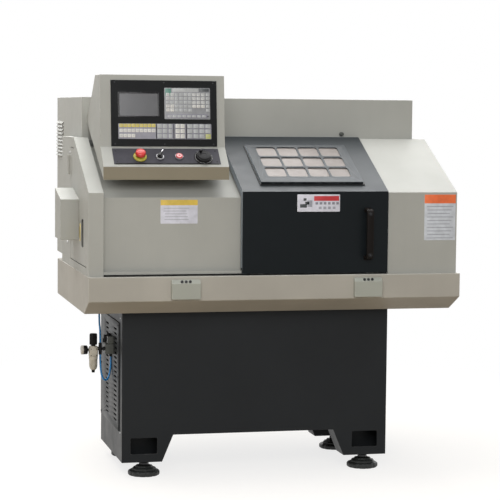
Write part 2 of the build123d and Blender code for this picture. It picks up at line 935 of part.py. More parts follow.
# Cross slide: slotted table on four pads, with its nut round the short screw
table_left = saddle_mid - table_width / 2
table_top_z = table_low_z + table_thickness
with BuildPart() as cross_slide:
    block((table_left, table_left + table_width), (table_front, table_back), (table_low_z, table_top_z))
    for groove in (-45, 0, 45):
        block(
            (saddle_mid + groove - 6, saddle_mid + groove + 6),
            (table_front, table_back),
            (table_top_z - 10, table_top_z),
            mode=Mode.SUBTRACT,
        )
    for way in (-cross_way_spacing / 2, cross_way_spacing / 2):
        for pad_front in (table_front + 40, table_back - 50):
            block(
                (saddle_mid + way - pad_half, saddle_mid + way + pad_half),
                (pad_front, pad_front + 40),
                (saddle_top_z + block_lift, table_low_z),
            )
            block(
                (
                    saddle_mid + way - cross_way_width / 2 - fit_gap,
                    saddle_mid + way + cross_way_width / 2 + fit_gap,
                ),
                (pad_front, pad_front + 40),
                (saddle_top_z + block_lift, saddle_top_z + cross_way_height + fit_gap),
                mode=Mode.SUBTRACT,
            )
    block(
        (saddle_mid - nut_half, saddle_mid + nut_half),
        (spindle_y, spindle_y + nut_depth),
        (x_screw_z - 12, table_low_z),
    )
    block(
        (saddle_mid - x_screw_radius - fit_gap, saddle_mid + x_screw_radius + fit_gap),
        (spindle_y, spindle_y + nut_depth),
        (x_screw_z - 12, x_screw_z + x_screw_radius + fit_gap),
        mode=Mode.SUBTRACT,
    )
cross_slide.part.label = "cross_slide"
export_step(cross_slide.part, "parts/cross_slide.step")

# Three tool blocks in a row: two boring bars with a turning tool between them
tool_left = table_left + 10
with BuildPart() as tool_blocks:
    for place in (-1, 0, 1):
        tool_y = spindle_y + place * tool_spacing
        block(
            (tool_left, tool_left + tool_block_length),
            (tool_y - tool_block_width / 2, tool_y + tool_block_width / 2),
            (table_top_z, table_top_z + tool_block_height),
        )
        with BuildSketch(side(tool_left)):
            with Locations((tool_y, spindle_z)):
                RegularPolygon(tool_shank, 4 if place == 0 else stem_sides, rotation=45)
        extrude(amount=-tool_reach)
tool_blocks.part.label = "tool_blocks"
export_step(tool_blocks.part, "parts/tool_blocks.step")

# Coolant tank: open trough with a lid that carries the pump
tank_front = (stand_front + stand_back - tank_depth) / 2
tank_base_z = stand_floor_z + stand_wall
tank_top_z = tank_base_z + tank_height
tank_lid_left = tank_left + tank_width / 2
with BuildPart() as coolant_tank:
    block(
        (tank_left, tank_left + tank_width),
        (tank_front, tank_front + tank_depth),
        (tank_base_z, tank_top_z),
    )
    block(
        (tank_left + tank_wall, tank_left + tank_width - tank_wall),
        (tank_front + tank_wall, tank_front + tank_depth - tank_wall),
        (tank_base_z + tank_wall, tank_top_z),
        mode=Mode.SUBTRACT,
    )
    block(
        (tank_lid_left, tank_left + tank_width),
        (tank_front, tank_front + tank_depth),
        (tank_top_z - tank_wall, tank_top_z),
    )
    block(
        (tank_lid_left + 60, tank_lid_left + 60 + pump_size),
        (spindle_y, spindle_y + pump_size),
        (tank_top_z, tank_top_z + pump_height),
    )
coolant_tank.part.label = "coolant_tank"
export_step(coolant_tank.part, "parts/coolant_tank.step")

# Side wall outlines of the hood and of the access door in it
hood_side = [
    (hood_front, tray_rim_z),
    (hood_front, hood_knee_z),
    (slope_end, hood_top_z),
    (hood_back, hood_top_z),
    (hood_back, tray_rim_z),
]
hatch_top_z = skin_z(slope_end, hatch_border)
hatch_side = [
    (hatch_front, hatch_low_z),
    (hatch_front, skin_z(hatch_front, hatch_border)),
    (slope_end, hatch_top_z),
    (hatch_back, hatch_top_z),
    (hatch_back, hatch_low_z),
]
column_right = hood_left + column_width

# Left end of the hood: column, wall with the doorway, ledge and rear return
with BuildPart() as hood_left_end:
    with BuildSketch(side(hood_left)):
        Polygon(*hood_side, align=None)
    extrude(amount=sheet)
    with BuildSketch(side(hood_left)):
        Polygon(*hatch_side, align=None)
        offset(amount=panel_gap, kind=Kind.INTERSECTION, mode=Mode.REPLACE)
    extrude(amount=sheet, mode=Mode.SUBTRACT)
    with BuildSketch(side(hood_left)):
        Polygon(*skin_profile(0, sheet, tray_rim_z, slope_end), align=None)
    extrude(amount=column_width)
    with BuildSketch(side(column_right - sheet)):
        Polygon(*skin_profile(0, recess_depth + sheet, tray_rim_z, slope_end), align=None)
    extrude(amount=sheet)
    block((hood_left, column_right), (slope_end, cabinet_front), (hood_top_z - sheet, hood_top_z))
    block((hood_left, cabinet_left), (cabinet_front, hood_back), (hood_top_z - sheet, hood_top_z))
    block((hood_left, cabinet_left), (hood_back - sheet, hood_back), (tray_rim_z, hood_top_z))
hood_left_end.part.label = "hood_left_end"
export_step(hood_left_end.part, "parts/hood_left_end.step")

# Cover over the headstock, one sheet with the opening's sill and the header above it
cover_front = hood_front + recess_depth
with BuildPart() as headstock_cover:
    with BuildSketch(side(column_right)):
        Polygon(*skin_profile(recess_depth, sheet, tray_rim_z, slope_end), align=None)
    extrude(amount=headstock_cover_right - column_right)
    block(
        (headstock_cover_right, right_cover_left),
        (cover_front, cover_front + sheet),
        (tray_rim_z, tray_rim_z + sill_height),
    )
    block(
        (column_right, right_cover_left),
        (slope_end, cabinet_front),
        (recess_top_z - sheet, recess_top_z),
    )
headstock_cover.part.label = "headstock_cover"
export_step(headstock_cover.part, "parts/headstock_cover.step")

# Right cover: front and slope, end wall, return with a lip behind the door, ledge and rear return
with BuildPart() as hood_right_cover:
    with BuildSketch(side(right_cover_left)):
        Polygon(*skin_profile(0, sheet, tray_rim_z, slope_end), align=None)
    extrude(amount=hood_right - right_cover_left)
    with BuildSketch(side(hood_right - sheet)):
        Polygon(*hood_side, align=None)
    extrude(amount=sheet)
    with BuildSketch(side(right_cover_left)):
        Polygon(*skin_profile(0, recess_depth + sheet, tray_rim_z, slope_end), align=None)
    extrude(amount=sheet)
    with BuildSketch(side(right_cover_left - door_lip)):
        Polygon(*skin_profile(recess_depth, sheet, tray_rim_z + sill_height, slope_end), align=None)
    extrude(amount=door_lip)
    block(
        (right_cover_left, hood_right),
        (slope_end, cabinet_front),
        (hood_top_z - sheet, hood_top_z),
    )
    block((cabinet_right, hood_right), (cabinet_front, hood_back), (hood_top_z - sheet, hood_top_z))
    block((cabinet_right, hood_right), (hood_back - sheet, hood_back), (tray_rim_z, hood_top_z))
hood_right_cover.part.label = "hood_right_cover"
export_step(hood_right_cover.part, "parts/hood_right_cover.step")

# Wall between the headstock and the cutting space
with BuildPart() as chamber_left_wall:
    with BuildSketch(side(partition_left)):
        Polygon(
            (cover_front + sheet, tray_rim_z),
            skin_knee(recess_depth + sheet),
            (slope_end, skin_z(slope_end, recess_depth + sheet)),
            (slope_end, recess_top_z - sheet),
            (cabinet_front + sheet, recess_top_z - sheet),
            (cabinet_front + sheet, hood_top_z),
            (chamber_back, hood_top_z),
            (chamber_back, tray_floor_z),
            (tray_bevel_depth + 2 * tray_wall, tray_floor_z),
            (tray_front_flange + tray_wall, tray_rim_z - tray_lip_height),
            (tray_front_flange + tray_wall, tray_rim_z),
            align=None,
        )
        with Locations((spindle_y, (tray_floor_z + bed_top_z) / 2)):
            Rectangle(
                bed_base_width + 2 * panel_gap,
                bed_top_z - tray_floor_z + 2 * panel_gap,
                mode=Mode.SUBTRACT,
            )
        with Locations((spindle_y, bed_top_z)):
            Rectangle(bed_top_width, 2 * way_height + 2 * panel_gap, mode=Mode.SUBTRACT)
        with Locations((spindle_y, spindle_z)):
            Circle(spindle_radius + 2, mode=Mode.SUBTRACT)
    extrude(amount=headstock_cover_right - partition_left)
chamber_left_wall.part.label = "chamber_left_wall"
export_step(chamber_left_wall.part, "parts/chamber_left_wall.step")

# Rear cabinet: stepped box over the cutting space, with louvres on its left face
cabinet_side = [
    (cabinet_front, hood_top_z),
    (cabinet_front, cabinet_top_z),
    (cabinet_back, cabinet_top_z),
    (cabinet_back, cabinet_base_z),
    (chamber_back, cabinet_base_z),
    (chamber_back, hood_top_z),
]
with BuildPart() as rear_cabinet:
    with BuildSketch(side(cabinet_left)):
        Polygon(*cabinet_side, align=None)
    extrude(amount=cabinet_right - cabinet_left)
    with BuildSketch(side(cabinet_left + sheet)):
        Polygon(*cabinet_side, align=None)
        offset(amount=-sheet, kind=Kind.INTERSECTION, mode=Mode.REPLACE)
    extrude(amount=cabinet_right - cabinet_left - 2 * sheet, mode=Mode.SUBTRACT)
    block(
        (column_right, right_cover_left),
        (cabinet_front, cabinet_front + sheet),
        (recess_top_z, hood_top_z),
    )
    block(cable_hole_x, (cabinet_front, cabinet_front + sheet), cable_hole_z, mode=Mode.SUBTRACT)
    block(
        (cabinet_left + 2 * sheet, cabinet_right - 2 * sheet),
        (chamber_back, chamber_back + sheet),
        (cabinet_base_z - splash_skirt, cabinet_base_z),
    )
    for left in (
        cabinet_left + support_inset,
        (cabinet_left + cabinet_right - support_width) / 2,
        cabinet_right - support_inset - support_width,
    ):
        block(
            (left, left + support_width),
            (tray_depth - 36, tray_depth - 8),
            (tray_rim_z, cabinet_base_z),
        )
    block(
        (cabinet_left + rear_opening_margin, cabinet_right - rear_opening_margin),
        (cabinet_back - sheet, cabinet_back),
        (cabinet_base_z + rear_opening_margin, cabinet_top_z - rear_opening_margin),
        mode=Mode.SUBTRACT,
    )
    for number in range(louvre_count):
        blade_z = cabinet_top_z - louvre_drop - number * louvre_pitch
        with BuildSketch(front(louvre_front)):
            Polygon(
                (cabinet_left, blade_z),
                (cabinet_left - louvre_out, blade_z - 9),
                (cabinet_left - louvre_out, blade_z - 11),
                (cabinet_left, blade_z - 3),
                align=None,
            )
        extrude(amount=louvre_front - louvre_back)
        block(
            (cabinet_left, cabinet_left + sheet),
            (louvre_front + 4, louvre_back - 4),
            (blade_z - 10, blade_z - 4),
            mode=Mode.SUBTRACT,
        )
rear_cabinet.part.label = "rear_cabinet"
export_step(rear_cabinet.part, "parts/rear_cabinet.step")

# Rear cover plate with its air slots
with BuildPart() as cabinet_rear_cover:
    block(
        (cabinet_left + rear_cover_margin, cabinet_right - rear_cover_margin),
        (cabinet_back, cabinet_back + rear_cover_thickness),
        (cabinet_base_z + rear_cover_margin, cabinet_top_z - rear_cover_margin),
    )
    for slot_x in rear_slot_x:
        for row in range(rear_slot_rows):
            slot_z = cabinet_base_z + 120 + row * 24
            block(
                (slot_x - rear_slot_width / 2, slot_x + rear_slot_width / 2),
                (cabinet_back, cabinet_back + rear_cover_thickness),
                (slot_z, slot_z + 9),
                mode=Mode.SUBTRACT,
            )
cabinet_rear_cover.part.label = "cabinet_rear_cover"
export_step(cabinet_rear_cover.part, "parts/cabinet_rear_cover.step")

# Drive units on their plate inside the rear cabinet
with BuildPart() as drive_units:
    plate_low_z = cabinet_base_z + drive_plate_rise
    block(
        (drive_plate_left, drive_plate_left + drive_plate_width),
        (chamber_back + sheet, chamber_back + sheet + 4),
        (plate_low_z, plate_low_z + drive_plate_height),
    )
    for shift, width, height in drive_boxes:
        block(
            (drive_plate_left + shift, drive_plate_left + shift + width),
            (chamber_back + sheet + 4, chamber_back + drive_depth),
            (plate_low_z + drive_box_rise, plate_low_z + drive_box_rise + height),
        )
drive_units.part.label = "drive_units"
export_step(drive_units.part, "parts/drive_units.step")

# Console housing on the cabinet's front, with a cable hole through both
console_lip_z = skin_z(console_front, -console_clear) + lip_height
desk_back_z = console_lip_z + desk_rise
console_side = [
    (console_front, skin_z(console_front, -console_clear)),
    (console_front, console_lip_z),
    (desk_back, desk_back_z),
    (console_top_front, console_top_z),
    (console_top_back, console_top_z),
    (cabinet_front - 125, cabinet_top_z + 10),
    (cabinet_front, console_neck_z),
    (cabinet_front, skin_z(cabinet_front, -console_clear)),
]
desk_plane = tilted((console_front, console_lip_z), (desk_back, desk_back_z))
face_plane = tilted((desk_back, desk_back_z), (console_top_front, console_top_z))
control_places = (
    (estop_x, control_s),
    (selector_x, control_s),
    (start_x, control_s),
    (dial_x, dial_s),
)
with BuildPart() as console_housing:
    with BuildSketch(side(console_left)):
        Polygon(*console_side, align=None)
    extrude(amount=console_right - console_left)
    with BuildSketch(side(console_left + sheet)):
        Polygon(*console_side, align=None)
        offset(amount=-sheet, kind=Kind.INTERSECTION, mode=Mode.REPLACE)
    extrude(amount=console_right - console_left - 2 * sheet, mode=Mode.SUBTRACT)
    with BuildSketch(desk_plane):
        with Locations(*control_places):
            RegularPolygon(stem_radius + fit_gap, stem_sides, major_radius=False)
    extrude(amount=-2 * sheet, mode=Mode.SUBTRACT)
    block(cable_hole_x, (cabinet_front - sheet, cabinet_front), cable_hole_z, mode=Mode.SUBTRACT)
console_housing.part.label = "console_housing"
export_step(console_housing.part, "parts/console_housing.step")

# Console panel with the screen let into it and two keypads on it
low_corner = (Align.MIN, Align.MIN)
with BuildPart() as console_panel:
    with BuildSketch(face_plane):
        with Locations((panel_left, panel_low_s)):
            Rectangle(panel_width, panel_height, align=low_corner)
        with Locations((screen_left, screen_low_s)):
            Rectangle(screen_width, screen_height, align=low_corner, mode=Mode.SUBTRACT)
    extrude(amount=panel_thickness)
console_panel.part.label = "console_panel"
export_step(console_panel.part, "parts/console_panel.step")

with BuildPart() as display_screen:
    with BuildSketch(face_plane):
        with Locations((screen_left + fit_gap, screen_low_s + fit_gap)):
            Rectangle(screen_width - 2 * fit_gap, screen_height - 2 * fit_gap, align=low_corner)
    extrude(amount=panel_thickness - 2)
display_screen.part.label = "display_screen"
export_step(display_screen.part, "parts/display_screen.step")

with BuildPart() as mdi_keypad:
    with BuildSketch(face_plane.offset(panel_thickness)):
        with Locations((keypad_left, keypad_low_s)):
            Rectangle(keypad_width, keypad_height, align=low_corner)
    extrude(amount=membrane)
mdi_keypad.part.label = "mdi_keypad"
export_step(mdi_keypad.part, "parts/mdi_keypad.step")

with BuildPart() as operator_keypad:
    with BuildSketch(face_plane.offset(panel_thickness)):
        with Locations((operator_left, operator_low_s)):
            Rectangle(operator_width, operator_height, align=low_corner)
    extrude(amount=membrane)
operator_keypad.part.label = "operator_keypad"
export_step(operator_keypad.part, "parts/operator_keypad.step")

# Strip on the desk with the bezels that the controls sit in
with BuildPart() as switch_strip:
    with BuildSketch(desk_plane):
        with Locations((strip_left, strip_low_s)):
            Rectangle(strip_width, strip_height, align=low_corner)
        with Locations(*control_places):
            RegularPolygon(
                stem_radius + fit_gap,
                stem_sides,
                major_radius=False,
                mode=Mode.SUBTRACT,
            )
    extrude(amount=strip_thickness)
switch_strip.part.label = "switch_strip"
export_step(switch_strip.part, "parts/switch_strip.step")

with BuildPart() as control_bezels:
    for place, radius, height, hole in (
        (control_places[0], collar_radius, collar_height, stem_radius + fit_gap),
        (control_places[1], bezel_radius, bezel_height, stem_radius + fit_gap),
        (control_places[2], bezel_radius, bezel_height, start_radius + fit_gap),
        (control_places[3], dial_base_radius, dial_base_height, stem_radius + fit_gap),
    ):
        with BuildSketch(desk_plane.offset(strip_thickness)):
            with Locations(place):
                RegularPolygon(radius, round_sides)
                RegularPolygon(hole, stem_sides, major_radius=False, mode=Mode.SUBTRACT)
        extrude(amount=height)
control_bezels.part.label = "control_bezels"
export_step(control_bezels.part, "parts/control_bezels.step")

# Emergency stop: mushroom cap on an eight-sided stem
estop_low = strip_thickness + collar_height + estop_travel
with BuildPart() as estop_button:
    with BuildSketch(desk_plane.offset(-stem_drop)):
        with Locations(control_places[0]):
            RegularPolygon(stem_radius, stem_sides)
    extrude(amount=stem_drop + estop_low)
    with BuildSketch(desk_plane.offset(estop_low)):
        with Locations(control_places[0]):
            RegularPolygon(estop_radius, round_sides)
    extrude(amount=estop_height)
estop_button.part.label = "estop_button"
export_step(estop_button.part, "parts/estop_button.step")

# Mode selector: round knob with a raised grip
selector_low = strip_thickness + bezel_height + fit_gap
with BuildPart() as mode_selector:
    with BuildSketch(desk_plane.offset(-stem_drop)):
        with Locations(control_places[1]):
            RegularPolygon(stem_radius, stem_sides)
    extrude(amount=stem_drop + selector_low)
    with BuildSketch(desk_plane.offset(selector_low)):
        with Locations(control_places[1]):
            RegularPolygon(selector_radius, round_sides)
    extrude(amount=8)
    with BuildSketch(desk_plane.offset(selector_low + 8)):
        with Locations(control_places[1]):
            Rectangle(8, 2 * selector_radius - 2)
    extrude(amount=9)
mode_selector.part.label = "mode_selector"
export_step(mode_selector.part, "parts/mode_selector.step")

# Start button on an eight-sided stem
start_low = strip_thickness + start_travel + fit_gap
with BuildPart() as start_button:
    with BuildSketch(desk_plane.offset(-stem_drop)):
        with Locations(control_places[2]):
            RegularPolygon(stem_radius, stem_sides)
    extrude(amount=stem_drop + start_low)
    with BuildSketch(desk_plane.offset(start_low)):
        with Locations(control_places[2]):
            RegularPolygon(start_radius, round_sides)
    extrude(amount=bezel_height + 1)
start_button.part.label = "start_button"
export_step(start_button.part, "parts/start_button.step")

# Handwheel dial with its crank knob
dial_low = strip_thickness + dial_base_height + fit_gap
with BuildPart() as handwheel:
    with BuildSketch(desk_plane.offset(-stem_drop)):
        with Locations(control_places[3]):
            RegularPolygon(stem_radius, stem_sides)
    extrude(amount=stem_drop + dial_low)
    with BuildSketch(desk_plane.offset(dial_low)):
        with Locations(control_places[3]):
            RegularPolygon(dial_radius, round_sides)
    extrude(amount=dial_height)
    with BuildSketch(desk_plane.offset(dial_low + dial_height)):
        with Locations((dial_x - 12, dial_s + 15)):
            RegularPolygon(6, 8)
    extrude(amount=12)
handwheel.part.label = "handwheel"
export_step(handwheel.part, "parts/handwheel.step")

# Sliding door: bent skin with folded edges, a shelf fold and a top flange, cut for the window
door_face_y = hood_front - door_proud
door_top_z = skin_z(door_top_y, -door_proud)
window_width = guard_columns * guard_pitch - (guard_pitch - guard_opening_width) + 2 * window_margin
window_height = guard_rows * guard_pitch - (guard_pitch - guard_opening_height) + 2 * window_margin
window_s = guard_center_s + guard_grid_lift
with BuildPart() as sliding_door:
    with BuildSketch(side(door_left)):
        Polygon(*skin_profile(-door_proud, door_sheet, door_base_z, door_top_y), align=None)
    extrude(amount=door_right - door_left)
    for left in (door_left, door_right - door_sheet):
        with BuildSketch(side(left)):
            Polygon(*skin_profile(-door_proud, door_thickness, door_fold_z, door_top_y), align=None)
        extrude(amount=door_sheet)
    block(
        (door_left, door_right),
        (door_face_y, door_face_y + door_thickness),
        (door_fold_z, door_fold_z + door_sheet),
    )
    block((door_left, door_right), (door_top_y, door_flange_back), (door_top_z - door_sheet, door_top_z))
    with BuildSketch(slope_plane):
        with Locations((guard_center_x, window_s)):
            Rectangle(window_width, window_height)
    extrude(amount=-door_sheet, mode=Mode.SUBTRACT)
sliding_door.part.label = "sliding_door"
export_step(sliding_door.part, "parts/sliding_door.step")

# Window: pane inside its gasket, and the guard plate over both
with BuildPart() as window_pane:
    with BuildSketch(slope_plane):
        with Locations((guard_center_x, window_s)):
            Rectangle(window_width + 2 * pane_lap, window_height + 2 * pane_lap)
    extrude(amount=gasket_thickness)
window_pane.part.label = "window_pane"
export_step(window_pane.part, "parts/window_pane.step")

with BuildPart() as window_gasket:
    with BuildSketch(slope_plane):
        with Locations((guard_center_x, guard_center_s)):
            Rectangle(guard_width + 2 * gasket_overhang, guard_height + 2 * gasket_overhang)
        with Locations((guard_center_x, window_s)):
            Rectangle(
                window_width + 2 * pane_lap + 2 * fit_gap,
                window_height + 2 * pane_lap + 2 * fit_gap,
                mode=Mode.SUBTRACT,
            )
    extrude(amount=gasket_thickness)
window_gasket.part.label = "window_gasket"
export_step(window_gasket.part, "parts/window_gasket.step")

half_width = guard_opening_width / 2
half_height = guard_opening_height / 2
opening_corners = [
    (half_width, half_height - guard_corner),
    (half_width - guard_corner, half_height),
    (guard_corner - half_width, half_height),
    (-half_width, half_height - guard_corner),
    (-half_width, guard_corner - half_height),
    (guard_corner - half_width, -half_height),
    (half_width - guard_corner, -half_height),
    (half_width, guard_corner - half_height),
]
with BuildPart() as window_guard:
    with BuildSketch(slope_plane.offset(gasket_thickness)):
        with Locations((guard_center_x, guard_center_s)):
            Rectangle(guard_width, guard_height)
        with Locations((guard_center_x, window_s)):
            with GridLocations(guard_pitch, guard_pitch, guard_columns, guard_rows):
                Polygon(*opening_corners, mode=Mode.SUBTRACT)
    extrude(amount=guard_thickness)
window_guard.part.label = "window_guard"
export_step(window_guard.part, "parts/window_guard.step")

# Door handle: a bow with two feet on the door
with BuildPart() as door_handle:
    with BuildSketch(side(handle_x)):
        Polygon(
            (door_face_y, handle_low_z),
            (-handle_out + handle_bar, handle_low_z),
            (-handle_out, handle_low_z + handle_bar),
            (-handle_out, handle_low_z + handle_length - handle_bar),
            (-handle_out + handle_bar, handle_low_z + handle_length),
            (door_face_y, handle_low_z + handle_length),
            (door_face_y, handle_low_z + handle_length - handle_foot),
            (-handle_out + handle_bar, handle_low_z + handle_length - handle_foot),
            (-handle_out + handle_bar, handle_low_z + handle_foot),
            (door_face_y, handle_low_z + handle_foot),
            align=None,
        )
    extrude(amount=handle_width)
door_handle.part.label = "door_handle"
export_step(door_handle.part, "parts/door_handle.step")

# Rails: the bar that the door hangs on and the guide on the tray's rim
rail_back = rail_front + rail_thickness
with BuildPart() as door_rails:
    block(
        (column_right + fit_gap, right_cover_left - fit_gap),
        (rail_front, rail_back),
        (rail_low_z, rail_high_z),
    )
    for number in range(6):
        left = column_right + 20 + number * 215
        block((left, left + 24), (rail_back, cabinet_front), (rail_low_z, rail_low_z + 10))
    block(
        (column_right + fit_gap, right_cover_left - fit_gap),
        (guide_front, guide_front + guide_thickness),
        (tray_rim_z, tray_rim_z + guide_height),
    )
door_rails.part.label = "door_rails"
export_step(door_rails.part, "parts/door_rails.step")

# Glides on the door, each straddling its rail
with BuildPart() as door_glides:
    for left in (door_left + glide_inset, door_right - glide_inset - glide_length):
        for front_y, thick, low_z, high_z, slot_z in (
            (guide_front, guide_thickness, tray_rim_z + 5, door_fold_z, tray_rim_z + guide_height),
            (rail_front, rail_thickness, rail_low_z + 13, door_top_z - door_sheet, rail_high_z),
        ):
            block(
                (left, left + glide_length),
                (front_y - glide_wall, front_y + thick + glide_wall),
                (low_z, high_z),
            )
            block(
                (left, left + glide_length),
                (front_y - glide_clearance, front_y + thick + glide_clearance),
                (low_z, slot_z + glide_clearance),
                mode=Mode.SUBTRACT,
            )
door_glides.part.label = "door_glides"
export_step(door_glides.part, "parts/door_glides.step")

# Box over the chuck cylinder and the belt, on the side door
belt_box_side = [
    (belt_cover_front, belt_cover_low_z),
    (belt_cover_front, belt_cover_front_z),
    (belt_cover_back, belt_cover_back_z),
    (belt_cover_back, belt_cover_low_z),
]
with BuildPart() as belt_cover:
    with BuildSketch(side(-belt_cover_out)):
        Polygon(*belt_box_side, align=None)
    extrude(amount=belt_cover_out + hood_left)
    with BuildSketch(side(-belt_cover_out + sheet)):
        Polygon(*belt_box_side, align=None)
        offset(amount=-sheet, kind=Kind.INTERSECTION, mode=Mode.REPLACE)
    extrude(amount=belt_cover_out + hood_left - sheet, mode=Mode.SUBTRACT)
belt_cover.part.label = "belt_cover"
export_step(belt_cover.part, "parts/belt_cover.step")

# Side access door: folded sheet with the finger pull and two hinges
with BuildPart() as side_door:
    with BuildSketch(side(hood_left)):
        Polygon(*hatch_side, align=None)
    extrude(amount=hatch_fold)
    with BuildSketch(side(hood_left + sheet)):
        Polygon(*hatch_side, align=None)
        offset(amount=-sheet, kind=Kind.INTERSECTION, mode=Mode.REPLACE)
    extrude(amount=hatch_fold - sheet, mode=Mode.SUBTRACT)
    with BuildSketch(side(hood_left)):
        Polygon(*belt_box_side, align=None)
        offset(amount=-sheet, kind=Kind.INTERSECTION, mode=Mode.REPLACE)
    extrude(amount=sheet, mode=Mode.SUBTRACT)
    block(
        (hood_left + sheet, hood_left + pull_depth + sheet),
        (pull_y - pull_width / 2 - sheet, pull_y + pull_width / 2 + sheet),
        (pull_low_z - sheet, pull_low_z + pull_height + sheet),
    )
    block(
        (hood_left, hood_left + pull_depth),
        (pull_y - pull_width / 2, pull_y + pull_width / 2),
        (pull_low_z, pull_low_z + pull_height),
        mode=Mode.SUBTRACT,
    )
    for low_z in hinge_z:
        with BuildSketch(level(low_z)):
            with Locations((hood_left - hinge_radius - hinge_gap, hatch_back + hinge_radius / 2)):
                RegularPolygon(hinge_radius, stem_sides)
        extrude(amount=hinge_length)
        block(
            (hood_left - sheet, hood_left),
            (hatch_back - 30, hatch_back),
            (low_z, low_z + hinge_length),
        )
side_door.part.label = "side_door"
export_step(side_door.part, "parts/side_door.step")

# Air unit: valve on the stand, regulator with bowl, knob and gauge
regulator_left = regulator_x - regulator_size / 2
regulator_right = regulator_x + regulator_size / 2
with BuildPart() as air_valve:
    block(
        (stand_left - valve_depth, stand_left),
        (valve_front, valve_front + valve_length),
        (valve_low_z, valve_low_z + valve_height),
    )
air_valve.part.label = "air_valve"
export_step(air_valve.part, "parts/air_valve.step")

with BuildPart() as regulator_body:
    with BuildSketch(level(regulator_low_z)):
        with Locations((regulator_x, regulator_y)):
            Rectangle(regulator_size, regulator_size)
        chamfer(vertices(), length=5)
    extrude(amount=regulator_high_z - regulator_low_z)
regulator_body.part.label = "regulator_body"
export_step(regulator_body.part, "parts/regulator_body.step")

with BuildPart() as filter_bowl:
    with BuildSketch(level(bowl_low_z)):
        with Locations((regulator_x, regulator_y)):
            RegularPolygon(bowl_radius, round_sides)
    extrude(amount=regulator_low_z - bowl_low_z)
    with BuildSketch(level(bowl_low_z - drain_length)):
        with Locations((regulator_x, regulator_y)):
            RegularPolygon(drain_radius, 6)
    extrude(amount=drain_length)
filter_bowl.part.label = "filter_bowl"
export_step(filter_bowl.part, "parts/filter_bowl.step")

with BuildPart() as regulator_knob:
    with BuildSketch(level(regulator_high_z + fit_gap)):
        with Locations((regulator_x, regulator_y)):
            RegularPolygon(knob_radius, 18)
    extrude(amount=knob_height)
regulator_knob.part.label = "regulator_knob"
export_step(regulator_knob.part, "parts/regulator_knob.step")

with BuildPart() as pressure_gauge:
    with BuildSketch(side(regulator_left)):
        with Locations((regulator_y, gauge_z)):
            RegularPolygon(gauge_stem, 6)
    extrude(amount=-gauge_stem_length)
    with BuildSketch(side(regulator_left - gauge_stem_length)):
        with Locations((regulator_y, gauge_z)):
            RegularPolygon(gauge_radius, round_sides)
    extrude(amount=-gauge_length)
pressure_gauge.part.label = "pressure_gauge"
export_step(pressure_gauge.part, "parts/pressure_gauge.step")

# Air tubes, each a list of route points from fitting to fitting
supply_route = [(106, 400, 521), (106, 400, 574), (102, 402, 604), (102, 402, 655)]
loop_route = [(106, 400, 473), (106, 400, 368), (156, 440, 362), (156, 440, 459)]


def bend_radius(route):
    """Radius that fits every corner of a route with straight ends left over."""
    radii = []
    for before, corner, after in zip(route, route[1:], route[2:]):
        back = Vector(*before) - Vector(*corner)
        ahead = Vector(*after) - Vector(*corner)
        half_turn = radians((180 - back.get_angle(ahead)) / 2)
        radii.append(0.45 * min(back.length, ahead.length) / tan(half_turn))
    return min(radii)


tube_section = stem_sides / 2 * tube_radius**2 * sin(2 * radians(180 / stem_sides))


def tube_path(route):
    """The rounded line of a route, in the part's frame."""
    places = [(x - mid_x, y - mid_y, z) for x, y, z in route]
    return FilletPolyline(*places, radius=bend_radius(route))


with BuildPart() as air_supply_tube:
    with BuildLine():
        supply_line = tube_path(supply_route)
    with BuildSketch(Plane(supply_line @ 0, z_dir=supply_line % 0)):
        RegularPolygon(tube_radius, stem_sides)
    sweep()
air_supply_tube.part.label = "air_supply_tube"
export_step(air_supply_tube.part, "parts/air_supply_tube.step")

with BuildPart() as air_loop_tube:
    with BuildLine():
        loop_line = tube_path(loop_route)
    with BuildSketch(Plane(loop_line @ 0, z_dir=loop_line % 0)):
        RegularPolygon(tube_radius, stem_sides)
    sweep()
air_loop_tube.part.label = "air_loop_tube"
export_step(air_loop_tube.part, "parts/air_loop_tube.step")

for name, tube, line, route in (
    ("supply tube", air_supply_tube, supply_line, supply_route),
    ("loop tube", air_loop_tube, loop_line, loop_route),
):
    drawn = tube_section * line.length
    print(name, "length", round(line.length, 1), "bend radius", round(bend_radius(route), 1))
    print(name, "volume", round(tube.part.volume), "against section times length", round(drawn))

# Fittings: tee between regulator and valve, and the glands that hold the tubes
supply_end = supply_route[0]
tray_end = supply_route[-1]
loop_start = loop_route[0]
loop_end = loop_route[-1]
with BuildPart() as air_fittings:
    with BuildSketch(side(regulator_right)):
        with Locations((regulator_y, nipple_z)):
            RegularPolygon(nipple_radius, 8)
    extrude(amount=stand_left - valve_depth - regulator_right)
    for (x, y, z), height in (
        (supply_end, nipple_z - supply_end[2]),
        (loop_start, nipple_z - loop_start[2]),
        (loop_end, gland_length),
        (tray_end, gland_length),
    ):
        with BuildSketch(level(z)):
            with Locations((x, y)):
                RegularPolygon(gland_radius, 8)
        extrude(amount=height)
air_fittings.part.label = "air_fittings"
export_step(air_fittings.part, "parts/air_fittings.step")
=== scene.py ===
import math
import random

import bpy
from mathutils import Matrix, Vector
from mathutils.geometry import tessellate_polygon


